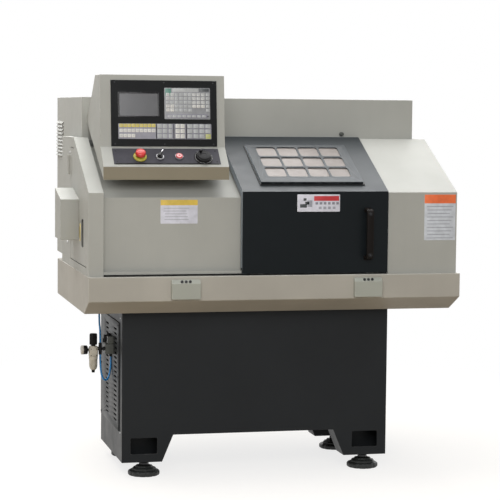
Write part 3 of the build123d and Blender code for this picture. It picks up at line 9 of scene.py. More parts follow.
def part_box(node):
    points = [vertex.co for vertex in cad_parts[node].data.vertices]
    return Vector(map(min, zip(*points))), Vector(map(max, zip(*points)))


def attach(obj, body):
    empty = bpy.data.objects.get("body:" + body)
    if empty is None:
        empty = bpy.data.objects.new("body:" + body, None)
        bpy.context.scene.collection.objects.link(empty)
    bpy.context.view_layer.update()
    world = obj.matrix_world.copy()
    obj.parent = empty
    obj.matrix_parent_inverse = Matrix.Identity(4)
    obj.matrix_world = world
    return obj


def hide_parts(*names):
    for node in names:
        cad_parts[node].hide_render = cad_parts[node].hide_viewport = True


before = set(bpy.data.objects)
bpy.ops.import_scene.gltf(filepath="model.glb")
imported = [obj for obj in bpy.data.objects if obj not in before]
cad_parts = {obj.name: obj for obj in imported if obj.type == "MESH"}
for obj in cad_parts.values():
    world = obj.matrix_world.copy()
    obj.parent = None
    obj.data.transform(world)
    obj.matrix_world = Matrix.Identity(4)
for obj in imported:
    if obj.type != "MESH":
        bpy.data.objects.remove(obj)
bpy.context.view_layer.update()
random.seed(11)

# Machine places are in mm: x from the tray's left end, y from its front, z from the floor.
MID_X = 714.5
MID_Y = 605.0
SLOPE = math.radians(26)
X, Y, Z = Vector((1, 0, 0)), Vector((0, 1, 0)), Vector((0, 0, 1))

# Faces that several pieces sit on
DOOR_Y = 15.5
STAND_X = 163
WALL_X = 2.5
RIM_Z = 824
CABINET_Z = 1516


def at(x, y, z):
    """A machine place in mm as a point of the frame in metres."""
    return Vector(((x - MID_X) / 1000, (y - MID_Y) / 1000, z / 1000))


def turned(origin, across, up):
    """A matrix whose local x and y run along two directions; its z is their normal. Local sizes are mm."""
    rows = Matrix((across, up, across.cross(up))).transposed()
    return Matrix.Translation(origin) @ rows.to_4x4() @ Matrix.Scale(0.001, 4)


def tilted(low, high):
    """The plane through two (y, z) places, seen from the front: local x is the machine's x."""
    up = Vector((0, high[0] - low[0], high[1] - low[1])).normalized()
    return turned(at(0, *low), X, up)


def front_at(y):
    """The upright plane at y, seen from the front: local x and y are the machine's x and z."""
    return turned(at(0, y, 0), X, Z)


def left_at(x):
    """The upright plane at x, seen from the left: local x is minus the machine's y, and y its z."""
    return turned(at(x, 0, 0), -Y, Z)


def right_at(x):
    """The upright plane at x, seen from the right: local x and y are the machine's y and z."""
    return turned(at(x, 0, 0), Y, Z)


def upward(x, y, z=0):
    """A level plane over a place: its local x and y are the machine's."""
    return turned(at(x, y, z), X, Y)


def downward(x, y, z):
    """A level plane whose local z points down."""
    return turned(at(x, y, z), X, -Y)


def lifted(matrix, x, s, h=0):
    """The same plane with its origin moved to local (x, s, h)."""
    return matrix @ Matrix.Translation((x, s, h))


def spun(matrix, angle):
    """The same plane turned about its normal."""
    return matrix @ Matrix.Rotation(angle, 4, "Z")


def skin_z(y, depth=0):
    """The height of the hood's slope at y, or of a level this deep under it."""
    return 1148 + (y - 22.5) * math.tan(SLOPE) - depth / math.cos(SLOPE)


DESK_Z = 1248.63
DESK_RISE = 0.6806
DESK = tilted((33, DESK_Z), (112, 1322))
FACE = tilted((112, 1322), (141, 1602))
SLOPE_PLANE = tilted((DOOR_Y, 1152.37), (440, skin_z(440, -7)))

# Camera and light

scene = bpy.context.scene
scene.view_settings.view_transform = "Standard"
camera_data = bpy.data.cameras.new("camera")
camera_data.sensor_width = 36
camera_data.lens = 131.27
camera_data.clip_end = 100
camera = bpy.data.objects.new("camera", camera_data)
scene.collection.objects.link(camera)
yaw, pitch, roll = 0.2335, 0.0776, 0.0094
ahead = Vector((math.sin(yaw) * math.cos(pitch), math.cos(yaw) * math.cos(pitch), -math.sin(pitch)))
level_right = Vector((math.cos(yaw), -math.sin(yaw), 0))
level_up = level_right.cross(ahead)
right = math.cos(roll) * level_right + math.sin(roll) * level_up
up = math.cos(roll) * level_up - math.sin(roll) * level_right
camera.matrix_world = Matrix.Translation(
    (-1.7218, -7.5021, 1.4765)
) @ Matrix((right, up, -ahead)).transposed().to_4x4()
scene.camera = camera


def area_light(name, place, target, size, power, color=(1, 1, 1)):
    data = bpy.data.lights.new(name, "AREA")
    data.shape = "RECTANGLE"
    data.size, data.size_y = size
    data.energy = power
    data.color = color
    light = bpy.data.objects.new(name, data)
    light.location = place
    light.rotation_euler = (Vector(target) - Vector(place)).to_track_quat("-Z", "Y").to_euler()
    scene.collection.objects.link(light)
    return light


area_light("lamp_top", (-0.6, 0.6, 4.2), (-0.1, 0.0, 1.2), (3.8, 4.0), 208)
area_light("lamp_front", (-1.25, -6.1, 3.2), (0, -0.3, 1.0), (3.4, 2.4), 172)
area_light("lamp_left", (-3.4, -0.9, 0.6), (-0.6, -0.1, 0.7), (1.6, 1.2), 11, (1.0, 0.93, 0.84))
sheen = area_light("lamp_sheen", (0.7, 2.6, 4.4), (0.2, -0.3, 1.2), (9.0, 5.6), 900)
sheen.visible_diffuse = False

world = bpy.data.worlds.new("studio")
scene.world = world
world.use_nodes = True


class Nodes:
    """Short calls for a node tree."""

    def __init__(self, tree):
        self.tree = tree
        tree.nodes.clear()

    def add(self, kind, values=(), **settings):
        node = self.tree.nodes.new("ShaderNode" + kind)
        for key, value in settings.items():
            setattr(node, key, value)
        for key, value in dict(values).items():
            if isinstance(value, bpy.types.NodeSocket):
                self.tree.links.new(value, node.inputs[key])
            else:
                node.inputs[key].default_value = value
        return node

    def math(self, operation, a, b=0.0):
        return self.add("Math", {0: a, 1: b}, operation=operation).outputs[0]

    def place(self):
        return self.add("TexCoord").outputs["Object"]

    def bump(self, strength, distance, height, **more):
        values = {"Strength": strength, "Distance": distance, "Height": height, **more}
        return self.add("Bump", values).outputs[0]

    def principled(self, material, color, rough, values=()):
        shader = self.add("BsdfPrincipled", {"Base Color": color, "Roughness": rough, **dict(values)})
        self.add("OutputMaterial", {"Surface": shader.outputs[0]})
        return material

    def mix(self, fac, a, b, blend="MIX"):
        a, b = (v if isinstance(v, bpy.types.NodeSocket) else (*v[:3], 1) for v in (a, b))
        return self.add("Mix", {0: fac, 6: a, 7: b}, data_type="RGBA", blend_type=blend).outputs[2]

    def remap(self, value, low, high, to_low=0.0, to_high=1.0):
        keys = {"Value": value, "From Min": low, "From Max": high, "To Min": to_low, "To Max": to_high}
        return self.add("MapRange", keys).outputs[0]

    def noise(self, vector, scale, detail=3.0, rough=0.5):
        keys = {"Vector": vector, "Scale": scale, "Detail": detail, "Roughness": rough}
        return self.add("TexNoise", keys).outputs[0]

    def shown(self):
        """1 for rays from the camera and for those that a mirror or a glass sends on."""
        path = self.add("LightPath")
        both = self.math("MAXIMUM", path.outputs["Is Glossy Ray"], path.outputs["Is Transmission Ray"])
        return self.math("MAXIMUM", path.outputs["Is Camera Ray"], both)


sky = Nodes(world.node_tree)
ambient = sky.add("Background", {"Color": (0.96, 0.98, 1.0, 1), "Strength": 0.38})
white = sky.add("Background", {"Color": (1, 1, 1, 1), "Strength": 1.0})
blend_sky = sky.add("MixShader", {0: sky.shown(), 1: ambient.outputs[0], 2: white.outputs[0]})
sky.add("OutputWorld", {"Surface": blend_sky.outputs[0]})


def srgb(*values):
    """Linear colour of an sRGB colour given as 0 to 255."""
    out = []
    for value in values:
        v = value / 255
        out.append(v / 12.92 if v <= 0.04045 else ((v + 0.055) / 1.055) ** 2.4)
    return (*out, 1.0)


def shade(color, factor):
    return [c * factor for c in color[:3]]


# Materials

def new_material(name):
    material = bpy.data.materials.new(name)
    material.use_nodes = True
    return material, Nodes(material.node_tree)


def close(nodes, shader):
    nodes.add("OutputMaterial", {"Surface": shader})


def scaled(nodes, vector, factors):
    node = nodes.add("Mapping", {"Vector": vector})
    node.inputs["Scale"].default_value = factors
    return node.outputs[0]


def edge_mask(nodes, radius, low=0.012, high=0.12):
    """1 along an object's edges, from how far the rounded normal turns from the flat one."""
    bevel = nodes.add("Bevel", {"Radius": radius}, samples=4)
    flat = nodes.add("NewGeometry")
    dot = nodes.add("VectorMath", {0: bevel.outputs[0], 1: flat.outputs["Normal"]}, operation="DOT_PRODUCT")
    return nodes.remap(nodes.math("SUBTRACT", 1.0, dot.outputs["Value"]), low, high)


def paint(name, color, rough, specular=0.5, peel=0.25, worn=None, dust=0.05, streak=0.04, sheen=0.0, lip=None):
    """Sprayed paint: soft patches, faint runs of dust, orange peel and lighter worn edges.
    What lies ahead of and below lip=(y, z) gets painted shade, darker and warmer, as under a fold."""
    material, n = new_material(name)
    place = n.place()
    patches = n.noise(place, 3.2, 4)
    cloud = n.noise(place, 14.0, 5)
    runs = n.noise(scaled(n, place, (26, 26, 1.6)), 1.0, 4)
    base = n.mix(n.remap(patches, 0.3, 0.7), shade(color, 1 - dust), shade(color, 1 + dust))
    base = n.mix(n.remap(cloud, 0.45, 0.8, 0.0, 0.22), base, shade(color, 0.93))
    base = n.mix(n.remap(runs, 0.5, 0.85, 0.0, streak * 4), base, shade(color, 0.86))
    if worn:
        rub = n.math("MULTIPLY", edge_mask(n, 0.0022), n.remap(n.noise(place, 60.0, 4), 0.42, 0.66))
        base = n.mix(rub, base, worn)
    speck = n.noise(place, 900.0, 2)
    base = n.mix(n.remap(speck, 0.62, 0.8, 0.0, 0.15), base, shade(color, 0.8))
    # Painted shade: the part of the lip under its fold is multiplied darker and warmer.
    if lip:
        parts = n.add("SeparateXYZ", {0: place})
        below = n.remap(parts.outputs[2], lip[1], lip[1] + 0.002, 1.0, 0.0)
        ahead_of = n.remap(parts.outputs[1], lip[0], lip[0] + 0.002, 1.0, 0.0)
        share = n.math("MULTIPLY", below, ahead_of)
        base = n.mix(share, base, n.mix(1.0, base, (0.62, 0.55, 0.44), "MULTIPLY"))
    gloss = n.remap(cloud, 0.2, 0.8, rough - 0.05, rough + 0.07)
    waves = n.noise(place, 520.0, 2)
    bump = n.bump(peel, 0.0004, waves)
    sheet_wave = n.bump(0.12, 0.006, n.noise(place, 2.4, 1), Normal=bump)
    return n.principled(
        material, base, gloss,
        {
            "Normal": sheet_wave, "Specular IOR Level": specular, "Sheen Weight": sheen, "Sheen Roughness": 0.4,
            "Sheen Tint": (0.82, 0.92, 1.0, 1),
        },
    )


def plastic(name, color, rough, grain=0.2, grain_scale=1400.0, specular=0.5, coat=0.0, rubbed=0.02):
    """Moulded plastic of an sRGB colour: fine grain, slight unevenness of colour and gloss."""
    color = srgb(*color)
    material, n = new_material(name)
    place = n.place()
    cloud = n.noise(place, 45.0, 4)
    base = n.mix(n.remap(cloud, 0.3, 0.7), shade(color, 0.88), [min(1, c * 1.1) for c in color[:3]])
    rub = edge_mask(n, 0.0012)
    base = n.mix(n.math("MULTIPLY", rub, 0.35), base, [min(1, c * 1.5 + rubbed) for c in color[:3]])
    gloss = n.remap(n.noise(place, 120.0, 3), 0.3, 0.7, rough - 0.06, rough + 0.06)
    bump = n.bump(grain, 0.0002, n.noise(place, grain_scale, 3))
    return n.principled(
        material, base, gloss,
        {"Normal": bump, "Specular IOR Level": specular, "Coat Weight": coat, "Coat Roughness": 0.08},
    )


def metal(name, color, rough, grain=(1, 1, 1), strength=0.12, cast=False):
    """Metal: turned or ground lines along the stretched axis, or a sandy casting, with duller patches."""
    material, n = new_material(name)
    place = n.place()
    lines = n.noise(scaled(n, place, grain), 1.0 if not cast else 260.0, 4, 0.6)
    patches = n.noise(place, 18.0, 4)
    base = n.mix(n.remap(patches, 0.3, 0.75), color[:3], shade(color, 0.78))
    base = n.mix(n.remap(lines, 0.35, 0.65, 0.0, 0.25), base, shade(color, 0.7))
    gloss = n.remap(patches, 0.25, 0.75, rough - 0.08, rough + 0.12)
    bump = n.bump(strength, 0.0003, lines)
    return n.principled(material, base, gloss, {"Metallic": 0.0 if cast else 1.0, "Normal": bump})


BEIGE = srgb(170, 170, 164)

beige = paint("beige_paint", BEIGE, 0.46, 0.07, 0.22, worn=srgb(206, 204, 196))
beige_tray = paint(
    "beige_paint_tray", srgb(172, 168, 159), 0.46, 0.07, 0.22, worn=srgb(205, 202, 192), dust=0.07,
)
# Lighter copy of the tray's beige: a painted highlight for the tray's top edge.
beige_highlight_paint = paint("beige_paint_highlight", srgb(190, 189, 182), 0.46, 0.07, 0.22)
beige_cover = paint("beige_paint_covers", srgb(163, 165, 156), 0.46, 0.07, 0.22, worn=srgb(200, 200, 190))
# The console's paint carries painted shade on its lip, darker and warmer, as under a fold.
console_beige = paint(
    "beige_paint_console", BEIGE, 0.46, 0.07, 0.22, worn=srgb(206, 204, 196), lip=((36 - MID_Y) / 1000, 1.246),
)
dark_gloss = paint(
    "dark_gloss_paint", srgb(6, 12, 15), 0.4, 0.12, 0.12, worn=srgb(84, 90, 94), dust=0.1, sheen=0.5,
)
dark_satin = paint("dark_satin_paint", srgb(29, 31, 33), 0.42, 0.16, 0.3, worn=srgb(88, 86, 82), dust=0.12)
motor_paint = paint("motor_paint", srgb(66, 72, 78), 0.4, 0.5, 0.3, worn=srgb(120, 120, 118))
casting = metal("grey_casting", srgb(112, 118, 116), 0.55, (1, 1, 1), 0.35, cast=True)
ground = metal("ground_steel", (0.2, 0.2, 0.198), 0.4, (4, 900, 900), 0.1)
turned_steel = metal("turned_steel", (0.18, 0.18, 0.181), 0.38, (900, 6, 6), 0.15)
tool_steel = metal("tool_steel", (0.14, 0.14, 0.145), 0.4, (700, 20, 700), 0.1)
aluminium = metal("cast_aluminium", (0.26, 0.258, 0.25), 0.45, (300, 300, 300), 0.25)
chrome = metal("chrome", (0.72, 0.72, 0.73), 0.12, (60, 60, 60), 0.03)
dull_chrome = metal("dull_chrome", (0.46, 0.46, 0.47), 0.3, (60, 60, 60), 0.05)
zinc = metal("zinc_screws", (0.5, 0.5, 0.5), 0.34, (500, 500, 500), 0.08)
black_screw = metal("black_screws", (0.05, 0.05, 0.052), 0.4, (500, 500, 500), 0.08)
black_plastic = plastic("black_plastic", (28, 28, 29), 0.42, specular=0.14, rubbed=0.01)
black_gloss = plastic("black_gloss", (17, 17, 19), 0.24, 0.06, specular=0.24, rubbed=0.008)
air_black = plastic("air_black", (13, 12, 11), 0.4, 0.3, 900, specular=0.12, rubbed=0.004)
handle_plastic = plastic("handle_plastic", (20, 16, 14), 0.42, 0.3, 1100, specular=0.08, rubbed=0.0)
air_body = plastic("air_body", (186, 180, 166), 0.4, 0.2, 500, specular=0.4)
valve_grey = plastic("valve_grey", (74, 76, 72), 0.45, 0.3, 500, specular=0.3)
bezel_white = plastic("bezel_white", (176, 172, 164), 0.3, 0.1, 500, specular=0.4)
white_nylon = plastic("white_nylon", (214, 212, 204), 0.5)
red_cap = plastic("red_cap", (198, 44, 40), 0.34, 0.03, coat=0.12)
red_button = plastic("red_button", (192, 70, 74), 0.38, 0.03, coat=0.08)
white_button = plastic("white_button", (226, 206, 204), 0.4, 0.05)
yellow_ring = plastic("yellow_ring", (166, 157, 54), 0.4, 0.1)
rubber = plastic("black_rubber", (24, 24, 24), 0.62, 0.4, 700, specular=0.3)
foot_rubber = plastic("foot_rubber", (36, 38, 37), 0.5, 0.4, 600, specular=0.4)
tube_blue = plastic("blue_tube", (34, 128, 192), 0.26, 0.02, specular=0.5, coat=0.3)


def plastics(rough, grain, **colors):
    """Plastics that differ in colour only."""
    return [plastic(name, color, rough, grain) for name, color in colors.items()]


plate_white, plate_red, plate_orange = plastics(
    0.42, 0.05, plate_white=(222, 222, 222), plate_red=(180, 38, 44), plate_orange=(226, 106, 54),
)
plate_yellow, plate_lilac, plate_grey = plastics(
    0.45, 0.05, plate_yellow=(206, 176, 74), plate_lilac=(206, 206, 216), plate_grey=(196, 200, 206),
)
key_light, key_mid, key_white, key_yellow, key_olive = plastics(
    0.4, 0.1, key_light=(182, 182, 180), key_mid=(164, 166, 166), key_white=(202, 200, 194),
    key_yellow=(196, 180, 80), key_olive=(170, 172, 104),
)
film_grey, film_violet, film_teal = plastics(
    0.42, 0.08, film_grey=(134, 135, 138), film_violet=(128, 127, 136), film_teal=(86, 128, 116),
)
plate_line = plastic("plate_line", (150, 152, 160), 0.5, 0.05)
film_dark = plastic("film_dark", (52, 56, 58), 0.4, 0.08)
brass = metal("brass", (0.62, 0.5, 0.2), 0.34, (300, 300, 300), 0.08)


def panel_film(name, color, rough, lines):
    """Satin film over a panel, with a fine weave of pressed lines."""
    material, n = new_material(name)
    place = n.place()
    wave = n.add(
        "TexWave", {"Vector": place, "Scale": lines, "Distortion": 0.4, "Detail": 1.0}, wave_type="BANDS",
        bands_direction="X",
    )
    cloud = n.noise(place, 22.0, 4)
    base = n.mix(n.remap(cloud, 0.3, 0.7), shade(color, 0.85), shade(color, 1.15))
    gloss = n.remap(cloud, 0.3, 0.7, rough - 0.05, rough + 0.06)
    bump = n.bump(0.12, 0.0002, wave.outputs[1])
    return n.principled(material, base, gloss, {"Normal": bump, "Specular IOR Level": 0.09})


panel_black = panel_film("panel_black", srgb(17, 18, 19), 0.4, 420)
strip_black = panel_film("strip_black", srgb(62, 61, 67), 0.46, 260)


def screen_glass():
    """Switched-off display: grey layer under glass, with a soft darker border."""
    material, n = new_material("screen_glass")
    place = n.add("TexCoord").outputs["Generated"]
    parts = n.add("SeparateXYZ", {0: place})
    rim_x = n.math("ABSOLUTE", n.math("SUBTRACT", parts.outputs[0], 0.5))
    rim_z = n.math("ABSOLUTE", n.math("SUBTRACT", parts.outputs[2], 0.5))
    rim = n.remap(n.math("MAXIMUM", rim_x, rim_z), 0.47, 0.5)
    base = n.mix(rim, srgb(66, 66, 69), srgb(46, 47, 50))
    gloss = n.remap(n.noise(place, 6.0, 3), 0.3, 0.7, 0.16, 0.24)
    return n.principled(material, base, gloss, {"Coat Weight": 0.15, "Coat Roughness": 0.1})


def pane_sheet():
    """Plastic pane with its milky film: mostly scatters, a little shows through."""
    material, n = new_material("window_pane_sheet")
    place = n.place()
    cloud = n.noise(place, 7.0, 5)
    base = n.mix(n.remap(cloud, 0.3, 0.7), srgb(131, 123, 118), srgb(143, 136, 131))
    gloss = n.remap(n.noise(place, 30.0, 3), 0.3, 0.7, 0.3, 0.42)
    film = n.add("BsdfPrincipled", {"Base Color": base, "Roughness": gloss, "Specular IOR Level": 0.1})
    clear = n.add("BsdfTransparent", {"Color": (0.9, 0.9, 0.88, 1)})
    share = n.remap(cloud, 0.2, 0.8, 0.86, 0.94)
    both = n.add("MixShader", {0: share, 1: clear.outputs[0], 2: film.outputs[0]})
    close(n, both.outputs[0])
    return material


def bowl_plastic():
    """Cloudy filter bowl."""
    material, n = new_material("bowl_plastic")
    place = n.place()
    cloud = n.noise(place, 60.0, 4)
    base = n.mix(n.remap(cloud, 0.3, 0.7), srgb(172, 165, 148), srgb(192, 187, 172))
    return n.principled(material, base, 0.26, {"Transmission Weight": 0.12, "Coat Weight": 0.3})


def belt_rubber():
    material, n = new_material("belt_rubber")
    place = n.place()
    wave = n.add("TexWave", {"Vector": place, "Scale": 60.0, "Distortion": 0.0}, bands_direction="X")
    base = n.mix(n.remap(n.noise(place, 40.0, 3), 0.3, 0.7), (0.012, 0.012, 0.012), (0.03, 0.03, 0.03))
    bump = n.bump(0.6, 0.002, wave.outputs[1])
    return n.principled(material, base, 0.6, {"Normal": bump})


def rail_finish():
    """Door rails: bare ground steel above, and the lower guide painted like the covers."""
    material, n = new_material("rail_finish")
    place = n.place()
    height = n.add("SeparateXYZ", {0: place}).outputs[2]
    upper = n.remap(height, 0.95, 0.951)
    grind = n.noise(scaled(n, place, (4, 900, 900)), 1.0, 4)
    steel = n.mix(n.remap(grind, 0.35, 0.65), (0.24, 0.24, 0.236), (0.17, 0.17, 0.168))
    dust = n.noise(place, 14.0, 5)
    painted = n.mix(n.remap(dust, 0.4, 0.8), BEIGE, shade(BEIGE, 0.88))
    base = n.mix(upper, painted, steel)
    gloss = n.remap(grind, 0.3, 0.7, 0.3, 0.44)
    bump = n.bump(0.12, 0.0003, grind)
    return n.principled(material, base, gloss, {"Metallic": upper, "Normal": bump, "Specular IOR Level": 0.16})


rails = rail_finish()
screen = screen_glass()
pane = pane_sheet()
bowl = bowl_plastic()
belt = belt_rubber()

NODE_MATERIAL = {
    beige: (
        "hood_left_end headstock_cover hood_right_cover rear_cabinet cabinet_rear_cover side_door "
        "belt_cover"
    ),
    console_beige: "console_housing",
    beige_tray: "chip_tray",
    beige_cover: "tray_lip_covers",
    dark_gloss: "sliding_door window_guard",
    dark_satin: "stand_cabinet stand_vent_panel",
    motor_paint: "main_motor coolant_tank",
    casting: "bed_casting headstock saddle cross_slide",
    rails: "door_rails",
    ground: "chamber_left_wall chuck_jaw_1 chuck_jaw_2 chuck_jaw_3",
    turned_steel: "spindle chuck_body z_ballscrew x_ballscrew",
    tool_steel: "tool_blocks",
    aluminium: "spindle_pulley motor_pulley chuck_cylinder regulator_body",
    black_plastic: (
        "z_servo_motor x_servo_motor drive_units control_bezels air_valve pressure_gauge air_fittings "
        "regulator_knob mode_selector handwheel door_handle"
    ),
    white_nylon: "door_glides",
    panel_black: "console_panel",
    strip_black: "switch_strip",
    film_grey: "mdi_keypad operator_keypad",
    red_cap: "estop_button start_button",
    rubber: "window_gasket",
    foot_rubber: "levelling_feet",
    tube_blue: "air_supply_tube air_loop_tube",
    screen: "display_screen",
    pane: "window_pane",
    bowl: "filter_bowl",
    belt: "drive_belt",
}
for material, names in NODE_MATERIAL.items():
    for name in names.split():
        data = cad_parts[name].data
        data.materials.clear()
        data.materials.append(material)
SOFT_EDGES = {
    0.8: "chuck_jaw_1 chuck_jaw_2 chuck_jaw_3 console_panel switch_strip",
    1.0: "cabinet_rear_cover side_door sliding_door tool_blocks",
    1.2: "hood_left_end headstock_cover hood_right_cover rear_cabinet belt_cover", 1.3: "console_housing",
    1.6: "stand_cabinet", 2.0: "tray_lip_covers air_valve z_servo_motor x_servo_motor", 2.8: "chip_tray",
    3.0: "main_motor",
}
for width, names in SOFT_EDGES.items():
    for name in names.split():
        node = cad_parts[name]
        weld = node.modifiers.new("weld", "WELD")
        weld.merge_threshold = 0.00002
        soften = node.modifiers.new("soften", "BEVEL")
        soften.width = width / 1000
        soften.segments = 2
        soften.limit_method = "ANGLE"
        soften.angle_limit = math.radians(35)


# Shape helpers. Each builds one mesh from local mm and turns it into the frame.

class Shape:
    """Vertices and faces collected in local mm, each part with its own matrix."""

    def __init__(self):
        self.points = []
        self.faces = []

    def add(self, points, faces, matrix):
        start = len(self.points)
        self.points += [matrix @ Vector(p) for p in points]
        self.faces += [[start + i for i in face] for face in faces]
        return self

    def make(self, name, material, slot=None, smooth=34, replaces=(), body="machine"):
        mesh = bpy.data.meshes.new(name)
        mesh.from_pydata(self.points, [], self.faces)
        mesh.polygons.foreach_set("use_smooth", [True] * len(mesh.polygons))
        mesh.set_sharp_from_angle(angle=math.radians(smooth))
        mesh.materials.append(material)
        piece = bpy.data.objects.new(name, mesh)
        scene.collection.objects.link(piece)
        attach(piece, body)
        if replaces:
            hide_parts(*replaces)
        return piece


def lathe(shape, matrix, profile, segments=32, ripple=None):
    """A closed turned form about local z from (radius, height) pairs, bottom first."""
    points, faces, rings = [], [], []
    for radius, height in profile:
        if radius <= 0:
            rings.append([len(points)])
            points.append((0, 0, height))
            continue
        ring = []
        for k in range(segments):
            angle = 2 * math.pi * k / segments
            r = radius * (ripple(angle, radius, height) if ripple else 1)
            ring.append(len(points))
            points.append((r * math.cos(angle), r * math.sin(angle), height))
        rings.append(ring)
    for low, high in zip(rings, rings[1:]):
        for k in range(segments):
            a, b = k, (k + 1) % segments
            if len(low) == 1 and len(high) > 1:
                faces.append([low[0], high[b], high[a]])
            elif len(high) == 1 and len(low) > 1:
                faces.append([low[a], low[b], high[0]])
            elif len(low) > 1:
                faces.append([low[a], low[b], high[b], high[a]])
    for ring, flip in ((rings[0], True), (rings[-1], False)):
        if len(ring) > 1:
            faces.append(ring[::-1] if flip else ring)
    return shape.add(points, faces, matrix)


def rounded(width, height, radius, center=(0, 0), steps=5):
    """A rounded rectangle's outline, counter-clockwise."""
    out = []
    radius = max(radius, 0.01)
    for sx, sy, start in ((1, 1, 0), (-1, 1, 90), (-1, -1, 180), (1, -1, 270)):
        for k in range(steps + 1):
            a = math.radians(start + 90 * k / steps)
            out.append(
                (
                    center[0] + sx * (width / 2 - radius) + radius * math.cos(a),
                    center[1] + sy * (height / 2 - radius) + radius * math.sin(a),
                )
            )
    return out


def inset(loop, amount):
    """The outline moved to the left of its direction, which is inwards for a counter-clockwise one."""
    out = []
    count = len(loop)
    for k in range(count):
        before, here, after = Vector(loop[k - 1]), Vector(loop[k]), Vector(loop[(k + 1) % count])
        first, second = (here - before).normalized(), (after - here).normalized()
        n1, n2 = Vector((-first.y, first.x)), Vector((-second.y, second.x))
        bisector = n1 + n2
        bisector = bisector / max(bisector.length_squared / 2, 0.2)
        out.append((here.x + bisector.x * amount, here.y + bisector.y * amount))
    return out


def plate(shape, matrix, loops, low, high, edge=0.5, low_edge=0.0):
    """A flat solid between two heights. The first outline is the rim, the others are holes through it.
    Its upper edges are rounded by edge, and its lower ones by low_edge."""
    turned_loops = [loops[0]] + [hole[::-1] for hole in loops[1:]]
    levels = []
    if low_edge:
        levels += [(low_edge, low), (low_edge * 0.3, low + low_edge * 0.3)]
    levels += [(0, low + low_edge), (0, high - edge)]
    if edge:
        levels += [(edge * 0.29, high - edge * 0.29), (edge, high)]
    points, faces = [], []
    stacks = []
    for loop in turned_loops:
        rows = []
        for amount, height in levels:
            line = inset(loop, amount) if amount else loop
            rows.append(range(len(points), len(points) + len(line)))
            points += [(x, y, height) for x, y in line]
        stacks.append(rows)
        for lower, upper in zip(rows, rows[1:]):
            count = len(loop)
            for k in range(count):
                j = (k + 1) % count
                faces.append([lower[k], lower[j], upper[j], upper[k]])
    for index, flip in ((-1, False), (0, True)):
        order = [i for rows in stacks for i in rows[index]]
        outline = [[Vector((points[i][0], points[i][1], 0)) for i in rows[index]] for rows in stacks]
        for a, b, c in tessellate_polygon(outline):
            tri = [order[a], order[b], order[c]]
            ax, ay = points[tri[0]][:2]
            bx, by = points[tri[1]][:2]
            cx, cy = points[tri[2]][:2]
            positive = (bx - ax) * (cy - ay) - (by - ay) * (cx - ax) > 0
            faces.append(tri if positive != flip else tri[::-1])
    return shape.add(points, faces, matrix)


def sided(count, inner=0.0, outer=999.0):
    """A ripple that gives rings between two radii this many flat sides."""

    def ripple(angle, radius, height):
        if not inner < radius <= outer:
            return 1
        turn = (angle % (2 * math.pi / count)) - math.pi / count
        return math.cos(math.pi / count) / math.cos(turn)

    return ripple


def ribs(count, depth, inner=0.0, power=1, low=-99.0, high=999.0):
    """A ripple that cuts this many grooves into rings beyond a radius and between two heights."""

    def ripple(angle, radius, height):
        if radius <= inner or not low < height < high:
            return 1
        return 1 - depth * (0.5 + 0.5 * math.cos(count * angle)) ** power

    return ripple


def screw(shape, matrix, radius, height):
    """A socket head on local z."""
    hole = radius * 0.5
    profile = [(radius, 0), (radius, height * 0.5), (radius * 0.94, height * 0.82), (radius * 0.78, height)]
    profile += [(hole, height), (hole * 0.96, height * 0.35), (0, height * 0.3)]
    return lathe(shape, matrix, profile, 24, sided(6, 0, hole * 1.01))


def screws(name, places, radius, height, material=zinc, body="machine"):
    shape = Shape()
    for matrix in places:
        screw(shape, matrix, radius, height)
    shape.make(name, material, "chrome", body=body)


def turned_piece(
    name, matrix, profile, material, slot=None, segments=40, ripple=None, replaces=(), body="machine"
):
    lathe(Shape(), matrix, profile, segments, ripple).make(name, material, slot, 34, replaces, body)


def plate_piece(name, matrix, loops, low, high, material, slot=None, edge=0.5, replaces=(), body="machine"):
    plate(Shape(), matrix, loops, low, high, edge).make(name, material, slot, 34, replaces, body)


# Levelling feet: ribbed pad, flat-sided step, threaded stud, two nuts and a washer

FOOT_X = (264, 1182)
FOOT_Y = (264, 690)
pads, steps, studs, nuts = Shape(), Shape(), Shape(), Shape()
for x in FOOT_X:
    for y in FOOT_Y:
        spot = upward(x, y)
        lathe(
            pads, spot, [(58, 0), (62, 2), (64, 6), (64, 15), (61, 19), (55, 21.5), (40, 22)], 96,
            ribs(12, 0.05, 50, 6),
        )
        lathe(
            steps, spot, [(50, 21.5), (50, 27), (46, 31), (38, 33), (34, 39), (24, 41), (20, 42)], 48,
            sided(8, 26),
        )
        thread = [(14, 30)]
        for k in range(12):
            thread += [(14, 31 + 2 * k), (12.4, 32 + 2 * k)]
        lathe(studs, spot, thread + [(12.5, 62)], 24)
        lathe(nuts, spot, [(18, 42), (20, 43.5), (20, 50), (18.5, 51.5)], 24, sided(6))
        lathe(nuts, spot, [(24, 58.6), (24, 61)], 32)
        lathe(nuts, spot, [(18, 51.5), (20, 52.5), (20, 57.5), (18.5, 58.6)], 24, sided(6))
pads.make("foot_pads", foot_rubber, "black_plastic", 30, ["levelling_feet"])
steps.make("foot_steps", foot_rubber, "black_plastic", 20)
studs.make("foot_studs", black_screw, "black_plastic")
nuts.make("foot_nuts", black_screw, "black_plastic", 25)

# Window guard with rounded openings

GUARD = (901, 217)
GUARD_RIM = rounded(420, 322, 5, GUARD)
OPENINGS = [(901 + 88 * (i - 1.5), 229 + 88 * (j - 1)) for i in range(4) for j in range(3)]
guard_loops = [GUARD_RIM] + [rounded(80, 75, 11, spot) for spot in OPENINGS]
plate_piece(
    "guard_plate", SLOPE_PLANE, guard_loops, 8, 12, dark_gloss, "paint_dark", 1.0, ["window_guard"],
    body="sliding_door",
)
guard_rim = [GUARD_RIM, rounded(396, 298, 4, GUARD)]
plate_piece("guard_rim", SLOPE_PLANE, guard_rim, 4, 8.05, dark_gloss, "paint_dark", 0, body="sliding_door")
plate_piece(
    "pane_sheet", SLOPE_PLANE, [rounded(388, 290, 4, GUARD)], 4.3, 7.9, pane, None, 0.4, ["window_pane"],
    body="sliding_door",
)

# Door handle: one bow of rounded section with a foot plate and a screw at each end

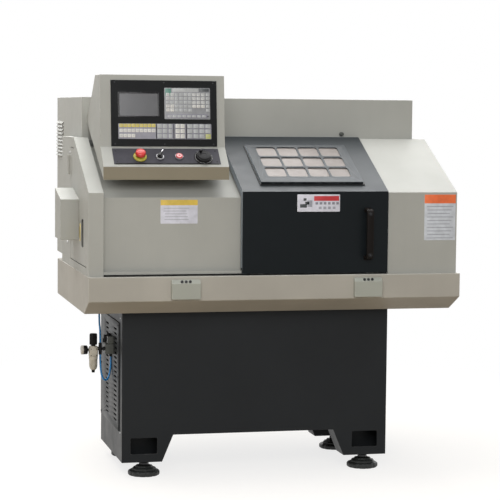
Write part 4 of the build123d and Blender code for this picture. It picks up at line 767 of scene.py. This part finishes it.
HANDLE_X = 1115
HANDLE_SCREW_Z = (903, 1065)
bar_low, bar_high, bar_y = 889, 1079, -22.5
path = [(DOOR_Y, bar_low), (-6, bar_low)]
for k in range(1, 8):
    a = math.radians(90 * k / 8)
    path.append((-6 - 16.5 * math.sin(a), bar_low + 16.5 * (1 - math.cos(a))))
path += [(bar_y, bar_low + 16.5), (bar_y, bar_low + 60), (bar_y, bar_high - 60)]
path += [(y, bar_low + bar_high - z) for y, z in reversed(path[:-2])]
section = rounded(28, 13, 4.5, steps=4)
points, faces = [], []
for k, (y, z) in enumerate(path):
    y0, z0 = path[max(k - 1, 0)]
    y1, z1 = path[min(k + 1, len(path) - 1)]
    run = Vector((y1 - y0, z1 - z0)).normalized()
    for u, v in section:
        points.append((HANDLE_X + u, y + v * run.y, z - v * run.x))
count = len(section)
for k in range(len(path) - 1):
    for i in range(count):
        j = (i + 1) % count
        faces.append([k * count + i, k * count + j, (k + 1) * count + j, (k + 1) * count + i])
faces.append(list(range(count)))
faces.append(list(range((len(path) - 1) * count, len(path) * count))[::-1])
whole = Matrix.Translation(at(0, 0, 0)) @ Matrix.Scale(0.001, 4)
handle = Shape().add(points, [face[::-1] for face in faces], whole)
handle.make("handle_bow", handle_plastic, "black_plastic", 34, ["door_handle"], body="sliding_door")
DOOR_FRONT = front_at(DOOR_Y)
for end, z in (("low", bar_low), ("high", bar_high)):
    plate_piece(
        f"handle_foot_{end}", lifted(DOOR_FRONT, HANDLE_X, z), [rounded(28, 18, 4)], 0, 4, handle_plastic,
        "black_plastic", 1.2, body="sliding_door",
    )
sockets = Shape()
for z in HANDLE_SCREW_Z:
    spot = lifted(front_at(-29), HANDLE_X, z)
    lathe(sockets, spot, [(8, -0.5), (8, 0.2), (7.2, 0.7), (6, 0.7), (5.2, 0.1), (5, -0.3), (0, -0.3)], 32)
sockets.make("handle_sockets", black_plastic, "black_plastic", body="sliding_door")
screws(
    "handle_screws", [lifted(front_at(-28.9), HANDLE_X, z) for z in HANDLE_SCREW_Z], 3.6, 0.6, black_screw,
    body="sliding_door",
)

# Console: screen frame, panel screws, keypads and their keys

plate_piece(
    "screen_frame", FACE, [rounded(165, 100, 3, (212.5, 165)), rounded(153, 88, 1.5, (212.5, 165))], 4, 5.6,
    black_gloss, "panel_black", 0.7,
)
panel_places = [lifted(FACE, x, s, 4) for x in (118, 313, 508) for s in (11, 252)]
screws("panel_screws", panel_places, 2.6, 1.2, black_screw)
screws("strip_screws", [lifted(DESK, x, s, 3) for x in (117, 511) for s in (26, 84)], 2.9, 1.3, black_screw)

plate_piece(
    "keypad_film", FACE, [rounded(182, 123, 2.5, (405, 170.5))], 4, 4.8, film_grey, "key_film", 0.3,
    ["mdi_keypad"],
)
KEY_GROUPS = {
    "mid": (key_mid, []), "light": (key_light, []), "white": (key_white, []), "yellow": (key_yellow, []),
    "olive": (key_olive, []),
}


def key(group, x, s, width, height):
    KEY_GROUPS[group][1].append((x, s, width, height))


KEYPAD_LEFT, KEYPAD_TOP = 314, 232
for row in range(5):
    for col in range(10):
        x = KEYPAD_LEFT + 6 + 17.7 * col + 7.4
        s = KEYPAD_TOP - 20 - 15.2 * row - 6.2
        if col == 9:
            group = "mid"
        elif col >= 6:
            if row == 4:
                continue
            group = "white" if row == 3 else "light"
            x -= 1.5
        elif col < 2 and row >= 3:
            group = "white"
        else:
            group = "light" if row in (0, 1) and col < 2 else "mid"
        key(group, x, s, 14.2, 11.6)
for name, shape, center, top, material in (
    ("header", (104, 13, 1), (398, 223), 5.1, key_mid), ("teal", (24, 28, 1), (329, 215), 5.2, film_teal),
    ("dark", (40, 12, 1), (472, 224), 5.2, film_dark),
    ("softkeys", (166, 17, 1.5), (405, 121), 5.2, film_violet),
):
    plate_piece(f"keypad_{name}", FACE, [rounded(*shape, center)], 4.8, top, material, "key_film", 0.2)
for k in range(8):
    key("mid", 334 + 19.5 * k, 121, 15, 9)
turned_piece(
    "keypad_stud", lifted(FACE, 487, 121, 4.8), [(3, 0), (3, 1.0), (2.4, 1.5), (0, 1.6)], film_dark,
    "panel_black", 24,
)

plate_piece(
    "operator_film", FACE, [rounded(369, 60, 2.5, (315.5, 61))], 4, 4.8, film_violet, "key_film", 0.3,
    ["operator_keypad"],
)
for x in (281, 350, 400):
    plate_piece(
        f"operator_gap_{x}", FACE, [rounded(3.2, 58, 1, (x, 61))], 4.8, 5.0, panel_black, "panel_black", 0.1,
    )
for col in range(9):
    x = 134 + 16 * col + 8
    key("yellow", x, 83.5, 14.2, 12.5)
    key("white", x, 64, 14.2, 13)
    if col < 4:
        key("white", x, 44, 14.2, 13)
for col in range(3):
    for row in range(3):
        key("mid", 294 + 21 * col, 82 - 19.5 * row, 18 if col < 2 else 13, 15.5)
for col in range(2):
    for row in range(3):
        key("white", 365.5 + 19.5 * col, 82 - 19.5 * row, 17, 16)
for col in range(4):
    for row in range(3):
        if (col, row) != (3, 2):
            key("mid", 414 + 24 * col, 82 - 19.5 * row, 20, 15)
key("olive", 487, 42, 21, 18)
for name, (material, spots) in KEY_GROUPS.items():
    shape = Shape()
    for x, s, width, height in spots:
        plate(shape, FACE, [rounded(width, height, 1.6, (x, s), 3)], 4.7, 5.7, 0.45)
    shape.make(f"keys_{name}", material, "key_film")
marks = Shape()
for _, spots in KEY_GROUPS.values():
    for x, s, width, height in spots:
        wide = width * (0.3 + 0.3 * random.random())
        plate(marks, FACE, [rounded(wide, 1.5, 0.3, (x, s + 1.2), 1)], 5.6, 5.78, 0)
        if random.random() < 0.5:
            plate(marks, FACE, [rounded(wide * 0.6, 1.1, 0.3, (x, s - 2), 1)], 5.6, 5.78, 0)
marks.make("key_marks", plate_line, "key_film")

# Desk controls

strip_low = (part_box("switch_strip")[0].z * 1000 - DESK_Z) / DESK_RISE
plate_piece(
    "strip_edge", DESK, [rounded(407, 3.4, 1, (314, strip_low + 1.2))], 0.1, 3.3, air_black, "black_plastic",
    0.5,
)
ESTOP, SELECTOR, START, DIAL = (208.5, 50), (287, 50), (362.5, 50), (459, 46)
spot = lifted(DESK, *ESTOP, 3)
turned_piece(
    "estop_collar", spot,
    [(26, 0), (26.5, 1), (26, 4), (23, 6.4), (19, 7.2), (13.4, 7.2), (12.8, 6.4), (12.8, 0.4), (0, 0.4)],
    yellow_ring, "black_plastic", replaces=["control_bezels"],
)
turned_piece(
    "estop_body", spot,
    [
        (7, 7.6), (7, 12), (12, 13), (14, 14.2), (18, 14.4), (20, 16), (20, 22), (19, 27), (15.5, 30),
        (9, 31.4), (0, 31.8),
    ],
    red_cap, "red_plastic", replaces=["estop_button"], body="estop",
)
spot = lifted(DESK, *SELECTOR, 3)
turned_piece(
    "selector_ring", spot, [(16, 0), (16.5, 1), (16, 4.2), (14.5, 6), (13, 6), (12.6, 3.5), (0, 3.5)],
    dull_chrome, "chrome",
)
turned_piece(
    "selector_knob", spot, [(7, 3.6), (12, 6.3), (12, 12), (11, 14.3), (0, 14.5)], black_gloss, "black_plastic",
    replaces=["mode_selector"], body="selector",
)
tip = spun(lifted(DESK, *SELECTOR, 17), math.radians(-28))
plate_piece(
    "selector_grip", tip, [rounded(10, 24, 4, (0, 1))], -2.6, 6.5, black_gloss, "black_plastic", 1.4,
    body="selector",
)
plate_piece(
    "selector_lever", tip, [rounded(3.8, 16, 1.6, (0, 19))], 1.2, 5.4, chrome, "chrome", 0.9, body="selector",
)
spot = lifted(DESK, *START, 3)
turned_piece(
    "start_ring", spot,
    [(15.6, 0), (16.2, 1), (16, 4.4), (15.2, 5.8), (14.6, 5.8), (14.2, 5), (14.1, 0.3), (0, 0.3)], dull_chrome,
    "chrome",
)
turned_piece(
    "start_cap", spot, [(13, 4.4), (13.6, 5), (13.6, 8), (12.8, 9.2), (10, 9.8), (0, 9.8)], red_button,
    "red_plastic", replaces=["start_button"], body="start_button",
)
turned_piece(
    "start_ring_mark", lifted(spot, 0, 0, 9.7), [(8.4, 0), (8.4, 0.5), (5.8, 0.5), (5.8, 0.02), (0, 0.02)],
    white_button, "red_plastic", body="start_button",
)
spot = lifted(DESK, *DIAL, 3)
turned_piece(
    "dial_base", spot, [(36, 0), (37, 1), (36.5, 3.2), (34, 4), (31.5, 4), (31, 3.4), (0, 3.4)], black_plastic,
    "black_plastic", 64,
)
ticks = Shape()
for k in range(100):
    turn = spun(lifted(spot, 0, 0, 3.9), 2 * math.pi * k / 100)
    long = 2.4 if k % 10 == 0 else 1.5
    plate(ticks, turn, [rounded(0.5 if k % 10 else 0.8, long, 0.1, (0, 33.4), 1)], 0, 0.25, 0)
ticks.make("dial_ticks", plate_white, "black_plastic")
turned_piece(
    "dial_wheel", spot,
    [
        (7, 3.6), (28, 4.4), (29.6, 5.4), (30, 7), (30, 11), (28.6, 13), (26, 13.6), (25, 15.6), (24.5, 17.6),
        (22, 18.3), (8, 18.3), (7.4, 17.6), (0, 17.6),
    ],
    black_plastic, "black_plastic", 96, ribs(48, 0.018, 29, 1, 5, 12), ["handwheel"], body="handwheel",
)
turned_piece(
    "dial_crank", lifted(spot, -12, 15, 18), [(4, 0), (4, 2), (5.6, 3), (6, 8), (5.2, 11), (3, 12), (0, 12.2)],
    black_gloss, "black_plastic", 24, body="handwheel",
)
turned_piece(
    "dial_hub_screw", lifted(spot, 0, 0, 17.4),
    [(3.4, 0), (3.4, 1.0), (2.8, 1.4), (1.8, 1.4), (1.7, 0.4), (0, 0.4)], black_screw, "chrome", 24,
    body="handwheel",
)

# Label plates with plain fields

def label(name, matrix, center, size, fields, body="machine"):
    """A bare plate with coloured fields: each is (material, x, s, width, height) from its centre."""
    width, height = size
    plate_piece(
        f"{name}_plate", matrix, [rounded(width, height, 3, center)], 0, 0.7, fields[0], None, 0.25, body=body,
    )
    for number, (material, x, s, w, h) in enumerate(fields[1:]):
        loops = [rounded(w, h, 1.2, (center[0] + x, center[1] + s))]
        plate_piece(f"{name}_field_{number}", matrix, loops, 0.6, 0.85, material, None, 0.1, body=body)


lines = [
    (plate_line, -8 - random.random() * 10, 14 - 11 * k, 104 - 18 * random.random(), 2.2) for k in range(5)
]
label(
    "cover_label", front_at(55), (361.5, 1072.5), (147, 93),
    [plate_lilac, (plate_yellow, 0, 36, 147, 21)] + lines,
)
lines = [(film_violet, -8 + 17 * k, -1, 11, 10) for k in range(6)]
lines += [(plate_line, 6 + 19 * k, -19, 12, 10) for k in range(4)]
lines += [(film_dark, -62, -11, 28, 14), (film_dark, -47, 0, 16, 12)]
lines += [(plate_line, -36, -2, 20, 26)]
label(
    "door_label", DOOR_FRONT, (913, 1107), (174, 68),
    [plate_lilac, (plate_red, 32, 18, 102, 19), (film_dark, -56, 14, 12, 10)] + lines, body="sliding_door",
)
lines = [(plate_line, -3 * (k % 3), 44 - 14 * k, 112 - 9 * (k % 3), 3.6) for k in range(10)]
label(
    "right_label", front_at(22.5), (1419.5, 1047.5), (131, 183),
    [plate_grey, (plate_orange, 0, 74, 131, 35)] + lines,
)

# Screws of the covers, panels and flanges

LIP_TOP = tilted((-22, 798), (-8.8, 812))
screws("lip_screws", [lifted(LIP_TOP, x, 9) for x in (361, 377, 393, 1096, 1112, 1128)], 5.8, 4.5, black_screw)
# A black strip at the covers' foot stands in for the shadow in the channel behind the tray's lip: painted
# shadow.
plate_piece(
    "cover_channel_shade", upward(0, 0, RIM_Z), [rounded(1138, 4, 1.9, (631, 27.6))], 0, 7.4, air_black, "rubber", 0.8,
)
# The rim bead wears the lighter beige, a painted highlight along the tray's top edge.
turned_piece(
    "tray_rim_bead", lifted(right_at(0), 2.0, RIM_Z - 1.4, 8),
    [(0.6, 0), (1.9, 0.8), (1.9, 1412.2), (0.6, 1413)], beige_highlight_paint, "paint_beige", 20,
)
wiper = Shape()
for y, width in ((23.6, 11.2), (40.8, 8.6)):
    plate(wiper, left_at(606), [rounded(width, 22.5, 1, (-y, 842))], -2.3, -0.3, 0.3)
wiper.make("door_wiper", rubber, "rubber", body="sliding_door")

# Vent panel: a proud sheet over the stand's side opening, with two columns of rounded slots

VENT_LOOPS = [rounded(465, 438, 3, (-488.5, 399))]
for y in (335, 541):
    for row in range(20):
        VENT_LOOPS.append(rounded(60, 8, 3.9, (-y, 585 - 19.4 * row)))
plate_piece(
    "vent_sheet", left_at(STAND_X), VENT_LOOPS, 0.1, 4.8, dark_satin, "paint_dark", 0.9, ["stand_vent_panel"],
)
screws(
    "vent_screws", [lifted(left_at(STAND_X), -y, z, 4.7) for y in (270, 707) for z in (192, 400, 606)], 4, 2.2,
    black_screw,
)
screws("stand_screws", [lifted(left_at(STAND_X), -y, z) for y in (235, 730) for z in (178, 640)], 4.4, 2.4)
screws("rear_cover_screws", [upward(x, 1222, CABINET_Z) for x in (95, 380, 742, 1104, 1389)], 5, 2.2)
screws(
    "right_wall_screws",
    [lifted(right_at(1490.5), y, z) for y, z in ((60, 850), (60, 1120), (770, 850), (770, 1320), (440, 1330))],
    4.4, 2.4,
)
turned_piece(
    "cabinet_stud", lifted(front_at(471), 1133, 1372),
    [(9, 0), (9, 3), (6, 4), (6, 9), (8, 10), (8, 16), (6.5, 18), (0, 18.4)], valve_grey, "chrome",
)
side_marks = Shape()
for y, z, size in ((618, 1200, 5), (548, 1289, 4), (621, 917, 5)):
    screw(side_marks, lifted(left_at(WALL_X), -y, z), size, 2.4)
side_marks.make("side_wall_screws", zinc, "chrome")

# Side door: pull cup with its brass latch strip

cup = [rounded(38, 109, 4, (-185, 982.5)), rounded(30, 101, 3, (-185, 982.5))]
plate_piece("pull_rim", left_at(WALL_X), cup, -0.2, 1.6, black_plastic, "black_plastic", 0.6, body="side_door")
plate_piece(
    "pull_cup", left_at(WALL_X), [rounded(33, 104, 3, (-185, 982.5))], -13.9, -12.5, black_plastic,
    "black_plastic", 0.4, body="side_door",
)
plate_piece(
    "latch_strip", left_at(WALL_X), [rounded(24, 68, 3, (-254, 982))], 0, 2.4, brass, "chrome", 0.8,
    body="side_door",
)
screws("latch_screws", [lifted(left_at(0.1), -254, z) for z in (956, 1008)], 3, 1.4, body="side_door")

# Chuck: round body with radial slots for the jaws and face screws

SPINDLE_AXIS = (374, 1045)
CHUCK = lifted(right_at(670.5), *SPINDLE_AXIS)
chuck = lathe(Shape(), CHUCK, [(76, 0), (80, 1), (82.5, 4), (82.5, 66), (81.5, 71), (0, 71)], 96)
for k in range(3):
    turn = spun(CHUCK, math.radians(90 + 120 * k))
    outline = []
    for radius, start, end in ((82.5, 8, 112), (20, 85.6, 34.4)):
        for step in range(25):
            a = math.radians(start + (end - start) * step / 24)
            outline.append((radius * math.cos(a), radius * math.sin(a)))
    plate(chuck, turn, [outline], 71, 85, 1.2)
chuck.make("chuck_round", turned_steel, "ground_steel", 30, ["chuck_body"], body="spindle")
screws(
    "chuck_screws",
    [lifted(spun(CHUCK, math.radians(150 + 120 * k)), r, 0, 85) for k in range(3) for r in (36, 64)], 6, 1.6,
    black_screw, body="spindle",
)

# Air unit: filter bowl with ribs, adjusting knob, block and gauge with its dial

AIR = (78, 400)
PORT_Z = 497
GAUGE_Z = 493
turned_piece(
    "bowl_body", upward(*AIR),
    [(8, 411), (10.5, 412.5), (13.2, 416), (15.4, 422), (16.7, 430), (17, 441), (17, 465)], bowl, "bowl", 64,
    ribs(16, 0.045, 12, 2), ["filter_bowl"],
)
turned_piece(
    "bowl_drain", upward(*AIR), [(5, 400), (6.6, 401.5), (6.6, 408), (7.8, 409), (7.8, 412)], air_black,
    "black_plastic", 24, ribs(12, 0.08),
)
turned_piece(
    "bowl_collar", upward(*AIR), [(17.2, 455), (18, 456), (18, 465), (17, 466)], air_body, "aluminium", 48,
)
knob_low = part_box("regulator_knob")[0].z * 1000
knob_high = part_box("regulator_knob")[1].z * 1000 + 4
turned_piece(
    "regulator_cap", upward(*AIR),
    [
        (9, knob_low), (9, knob_low + 4), (15.6, knob_low + 5), (15.6, knob_high - 6), (14.6, knob_high - 1.5),
        (13, knob_high), (0, knob_high),
    ],
    air_black, "black_plastic", 96, ribs(24, 0.06, 13), ["regulator_knob"], body="regulator_knob",
)
body = Shape()
plate(body, upward(*AIR), [rounded(36, 36, 9)], 466, 503, 2.5, low_edge=2.5)
lathe(body, upward(*AIR), [(17.4, 502), (17.4, 506), (15.5, 508.8), (0, 508.9)], 48)
lathe(body, lifted(left_at(60.2), -AIR[1], GAUGE_Z), [(8, 0), (8, 1.2), (6.6, 2), (0, 2)], 32)
body.make("regulator_block", air_body, "aluminium", 34, ["regulator_body"])
screws(
    "regulator_screws", [lifted(front_at(382), 78 + x, z) for x in (-11, 11) for z in (471, 498)], 2.2, 1.0,
    black_screw,
)

GAUGE = lifted(left_at(56), -AIR[1], GAUGE_Z)
turned_piece(
    "gauge_case", GAUGE,
    [
        (5, -4), (5, 0), (10, 0.6), (16, 2.4), (18.1, 6), (18.2, 10), (18.2, 19), (15.6, 19), (15.6, 25.2),
        (0, 25.2),
    ],
    air_black, "black_plastic", 56, replaces=["pressure_gauge"],
)
turned_piece(
    "gauge_bezel", GAUGE,
    [(15.7, 18.8), (18.3, 18.8), (18.5, 19.6), (18.5, 26.4), (17.8, 28), (16.4, 28), (15.8, 25.4)], bezel_white,
    "chrome", 56, ribs(40, 0.02, 18, 1, 20, 26),
)
turned_piece(
    "gauge_dial", GAUGE, [(15.7, 25.2), (15.7, 25.9), (15.4, 26.1), (0, 26.1)], plate_white, "key_film", 48,
)
gauge_marks = Shape()
for k in range(25):
    turn = spun(lifted(GAUGE, 0, 0, 26), math.radians(135 - 11.25 * k))
    long = 3 if k % 4 == 0 else 1.8
    plate(
        gauge_marks, turn, [rounded(0.7 if k % 4 == 0 else 0.4, long, 0.1, (0, 14.6 - long / 2), 1)], 0, 0.3, 0,
    )
needle = spun(lifted(GAUGE, 0, 0, 26), math.radians(40))
plate(gauge_marks, needle, [rounded(1.2, 15, 0.5, (0, 4.6), 2)], 0.5, 0.9, 0.1)
lathe(gauge_marks, GAUGE, [(2.2, 26), (2.2, 27), (1.6, 27.4), (0, 27.4)], 24)
gauge_marks.make("gauge_marks", film_dark, "black_plastic")

# Valve on the stand: bracket, body with its cap screws, and coil with a plug

VALVE = left_at(STAND_X)
plate_piece(
    "valve_bracket", VALVE, [rounded(100, 77, 5, (-430, 513.5))], 0.1, 5, black_plastic, "black_plastic", 1,
    ["air_valve"],
)
valve_body = Shape()
plate(valve_body, VALVE, [rounded(68, 42, 4, (-416, 496.5))], 5, 37.5, 2)
plate(valve_body, VALVE, [rounded(30, 30, 3, (-398, 532))], 5, 28, 2)
valve_body.make("valve_body", valve_grey, "aluminium")
coil = Shape()
plate(coil, VALVE, [rounded(27, 60, 6, (-465, 515))], 5, 34, 3)
plate(coil, VALVE, [rounded(20, 22, 2, (-465, 520))], 34, 37.5, 1)
lathe(coil, upward(151, 465), [(8, 545), (8, 549), (6.5, 551.5), (0, 551.6)], 24)
coil.make("valve_coil", black_plastic, "black_plastic")
screws(
    "valve_screws", [lifted(VALVE, -y, z, 37.4) for y, z in ((388, 482), (444, 482), (388, 511), (444, 511))],
    2.6, 0.9, black_screw,
)


# Glands and tubes

fittings = Shape()
for spot, length in (
    (upward(106, 400, PORT_Z), 24), (downward(106, 400, PORT_Z), 24), (downward(156, 440, 475), 16),
    (downward(102, 402, 671), 16),
):
    profile = [(6.4, 0), (7, 1), (7, length - 8), (5.9, length - 7), (6.8, length - 6), (6.8, length - 2.4)]
    profile += [(6.2, length - 2), (6.2, length - 0.6), (5.6, length), (0, length)]
    lathe(fittings, spot, profile, 32)
tee = turned(at(96, AIR[1], PORT_Z), Y, Z)
lathe(fittings, tee, [(8, 0), (8, 6), (6.8, 7), (6.8, 21), (8, 22), (8, 28.9)], 32, sided(6, 0, 7))
fittings.make("air_glands", black_plastic, "black_plastic", 34, ["air_fittings"])

SUPPLY = [(106, 400, 521), (106, 400, 574), (102, 402, 604), (102, 402, 655)]
LOOP = [(106, 400, 473), (106, 400, 368), (156, 440, 362), (156, 440, 459)]
for name, node, route, length in (
    ("supply_tube", "air_supply_tube", SUPPLY, 0.1342), ("loop_tube", "air_loop_tube", LOOP, 0.2432),
):
    curve = bpy.data.curves.new(name, "CURVE")
    curve.dimensions = "3D"
    curve.bevel_depth = 0.004
    curve.bevel_resolution = 6
    curve.resolution_u = 24
    curve.use_fill_caps = True
    spline = curve.splines.new("NURBS")
    spline.points.add(len(route) - 1)
    for point, place in zip(spline.points, route):
        point.co = (*at(*place), 1)
    spline.order_u = 3
    spline.use_endpoint_u = True
    curve.materials.append(tube_blue)
    tube = bpy.data.objects.new(name, curve)
    scene.collection.objects.link(tube)
    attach(tube, "machine")
    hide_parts(node)
    at(*route[0])

# Floor: pale, with the object's shadow, fading into the white background

floor_mesh = bpy.data.meshes.new("floor")
floor_mesh.from_pydata([(-40, -40, 0), (40, -40, 0), (40, 40, 0), (-40, 40, 0)], [], [[0, 1, 2, 3]])
floor = bpy.data.objects.new("floor", floor_mesh)
scene.collection.objects.link(floor)
floor_material, n = new_material("pale_floor")
place = n.place()
grain = n.noise(place, 30.0, 3)
seen = n.shown()
pale = n.mix(n.remap(grain, 0.3, 0.7), (0.27, 0.25, 0.22), (0.3, 0.28, 0.25))
warm = n.mix(n.remap(grain, 0.3, 0.7), (0.40, 0.34, 0.26), (0.44, 0.37, 0.28))
matte = n.add("BsdfDiffuse", {"Color": n.mix(seen, warm, pale)})
glow = n.add("Emission", {"Color": (1, 1, 1, 1), "Strength": n.math("MULTIPLY", seen, 0.78)})
near = n.add("AddShader", {0: matte.outputs[0], 1: glow.outputs[0]})
distance = n.add("VectorMath", {0: place}, operation="LENGTH")
fade = n.math("MULTIPLY", n.remap(distance.outputs["Value"], 1.4, 3.0), seen)
bright = n.add("Emission", {"Color": (1, 1, 1, 1), "Strength": 1.0})
whole_floor = n.add("MixShader", {0: fade, 1: near.outputs[0], 2: bright.outputs[0]})
close(n, whole_floor.outputs[0])
floor_mesh.materials.append(floor_material)
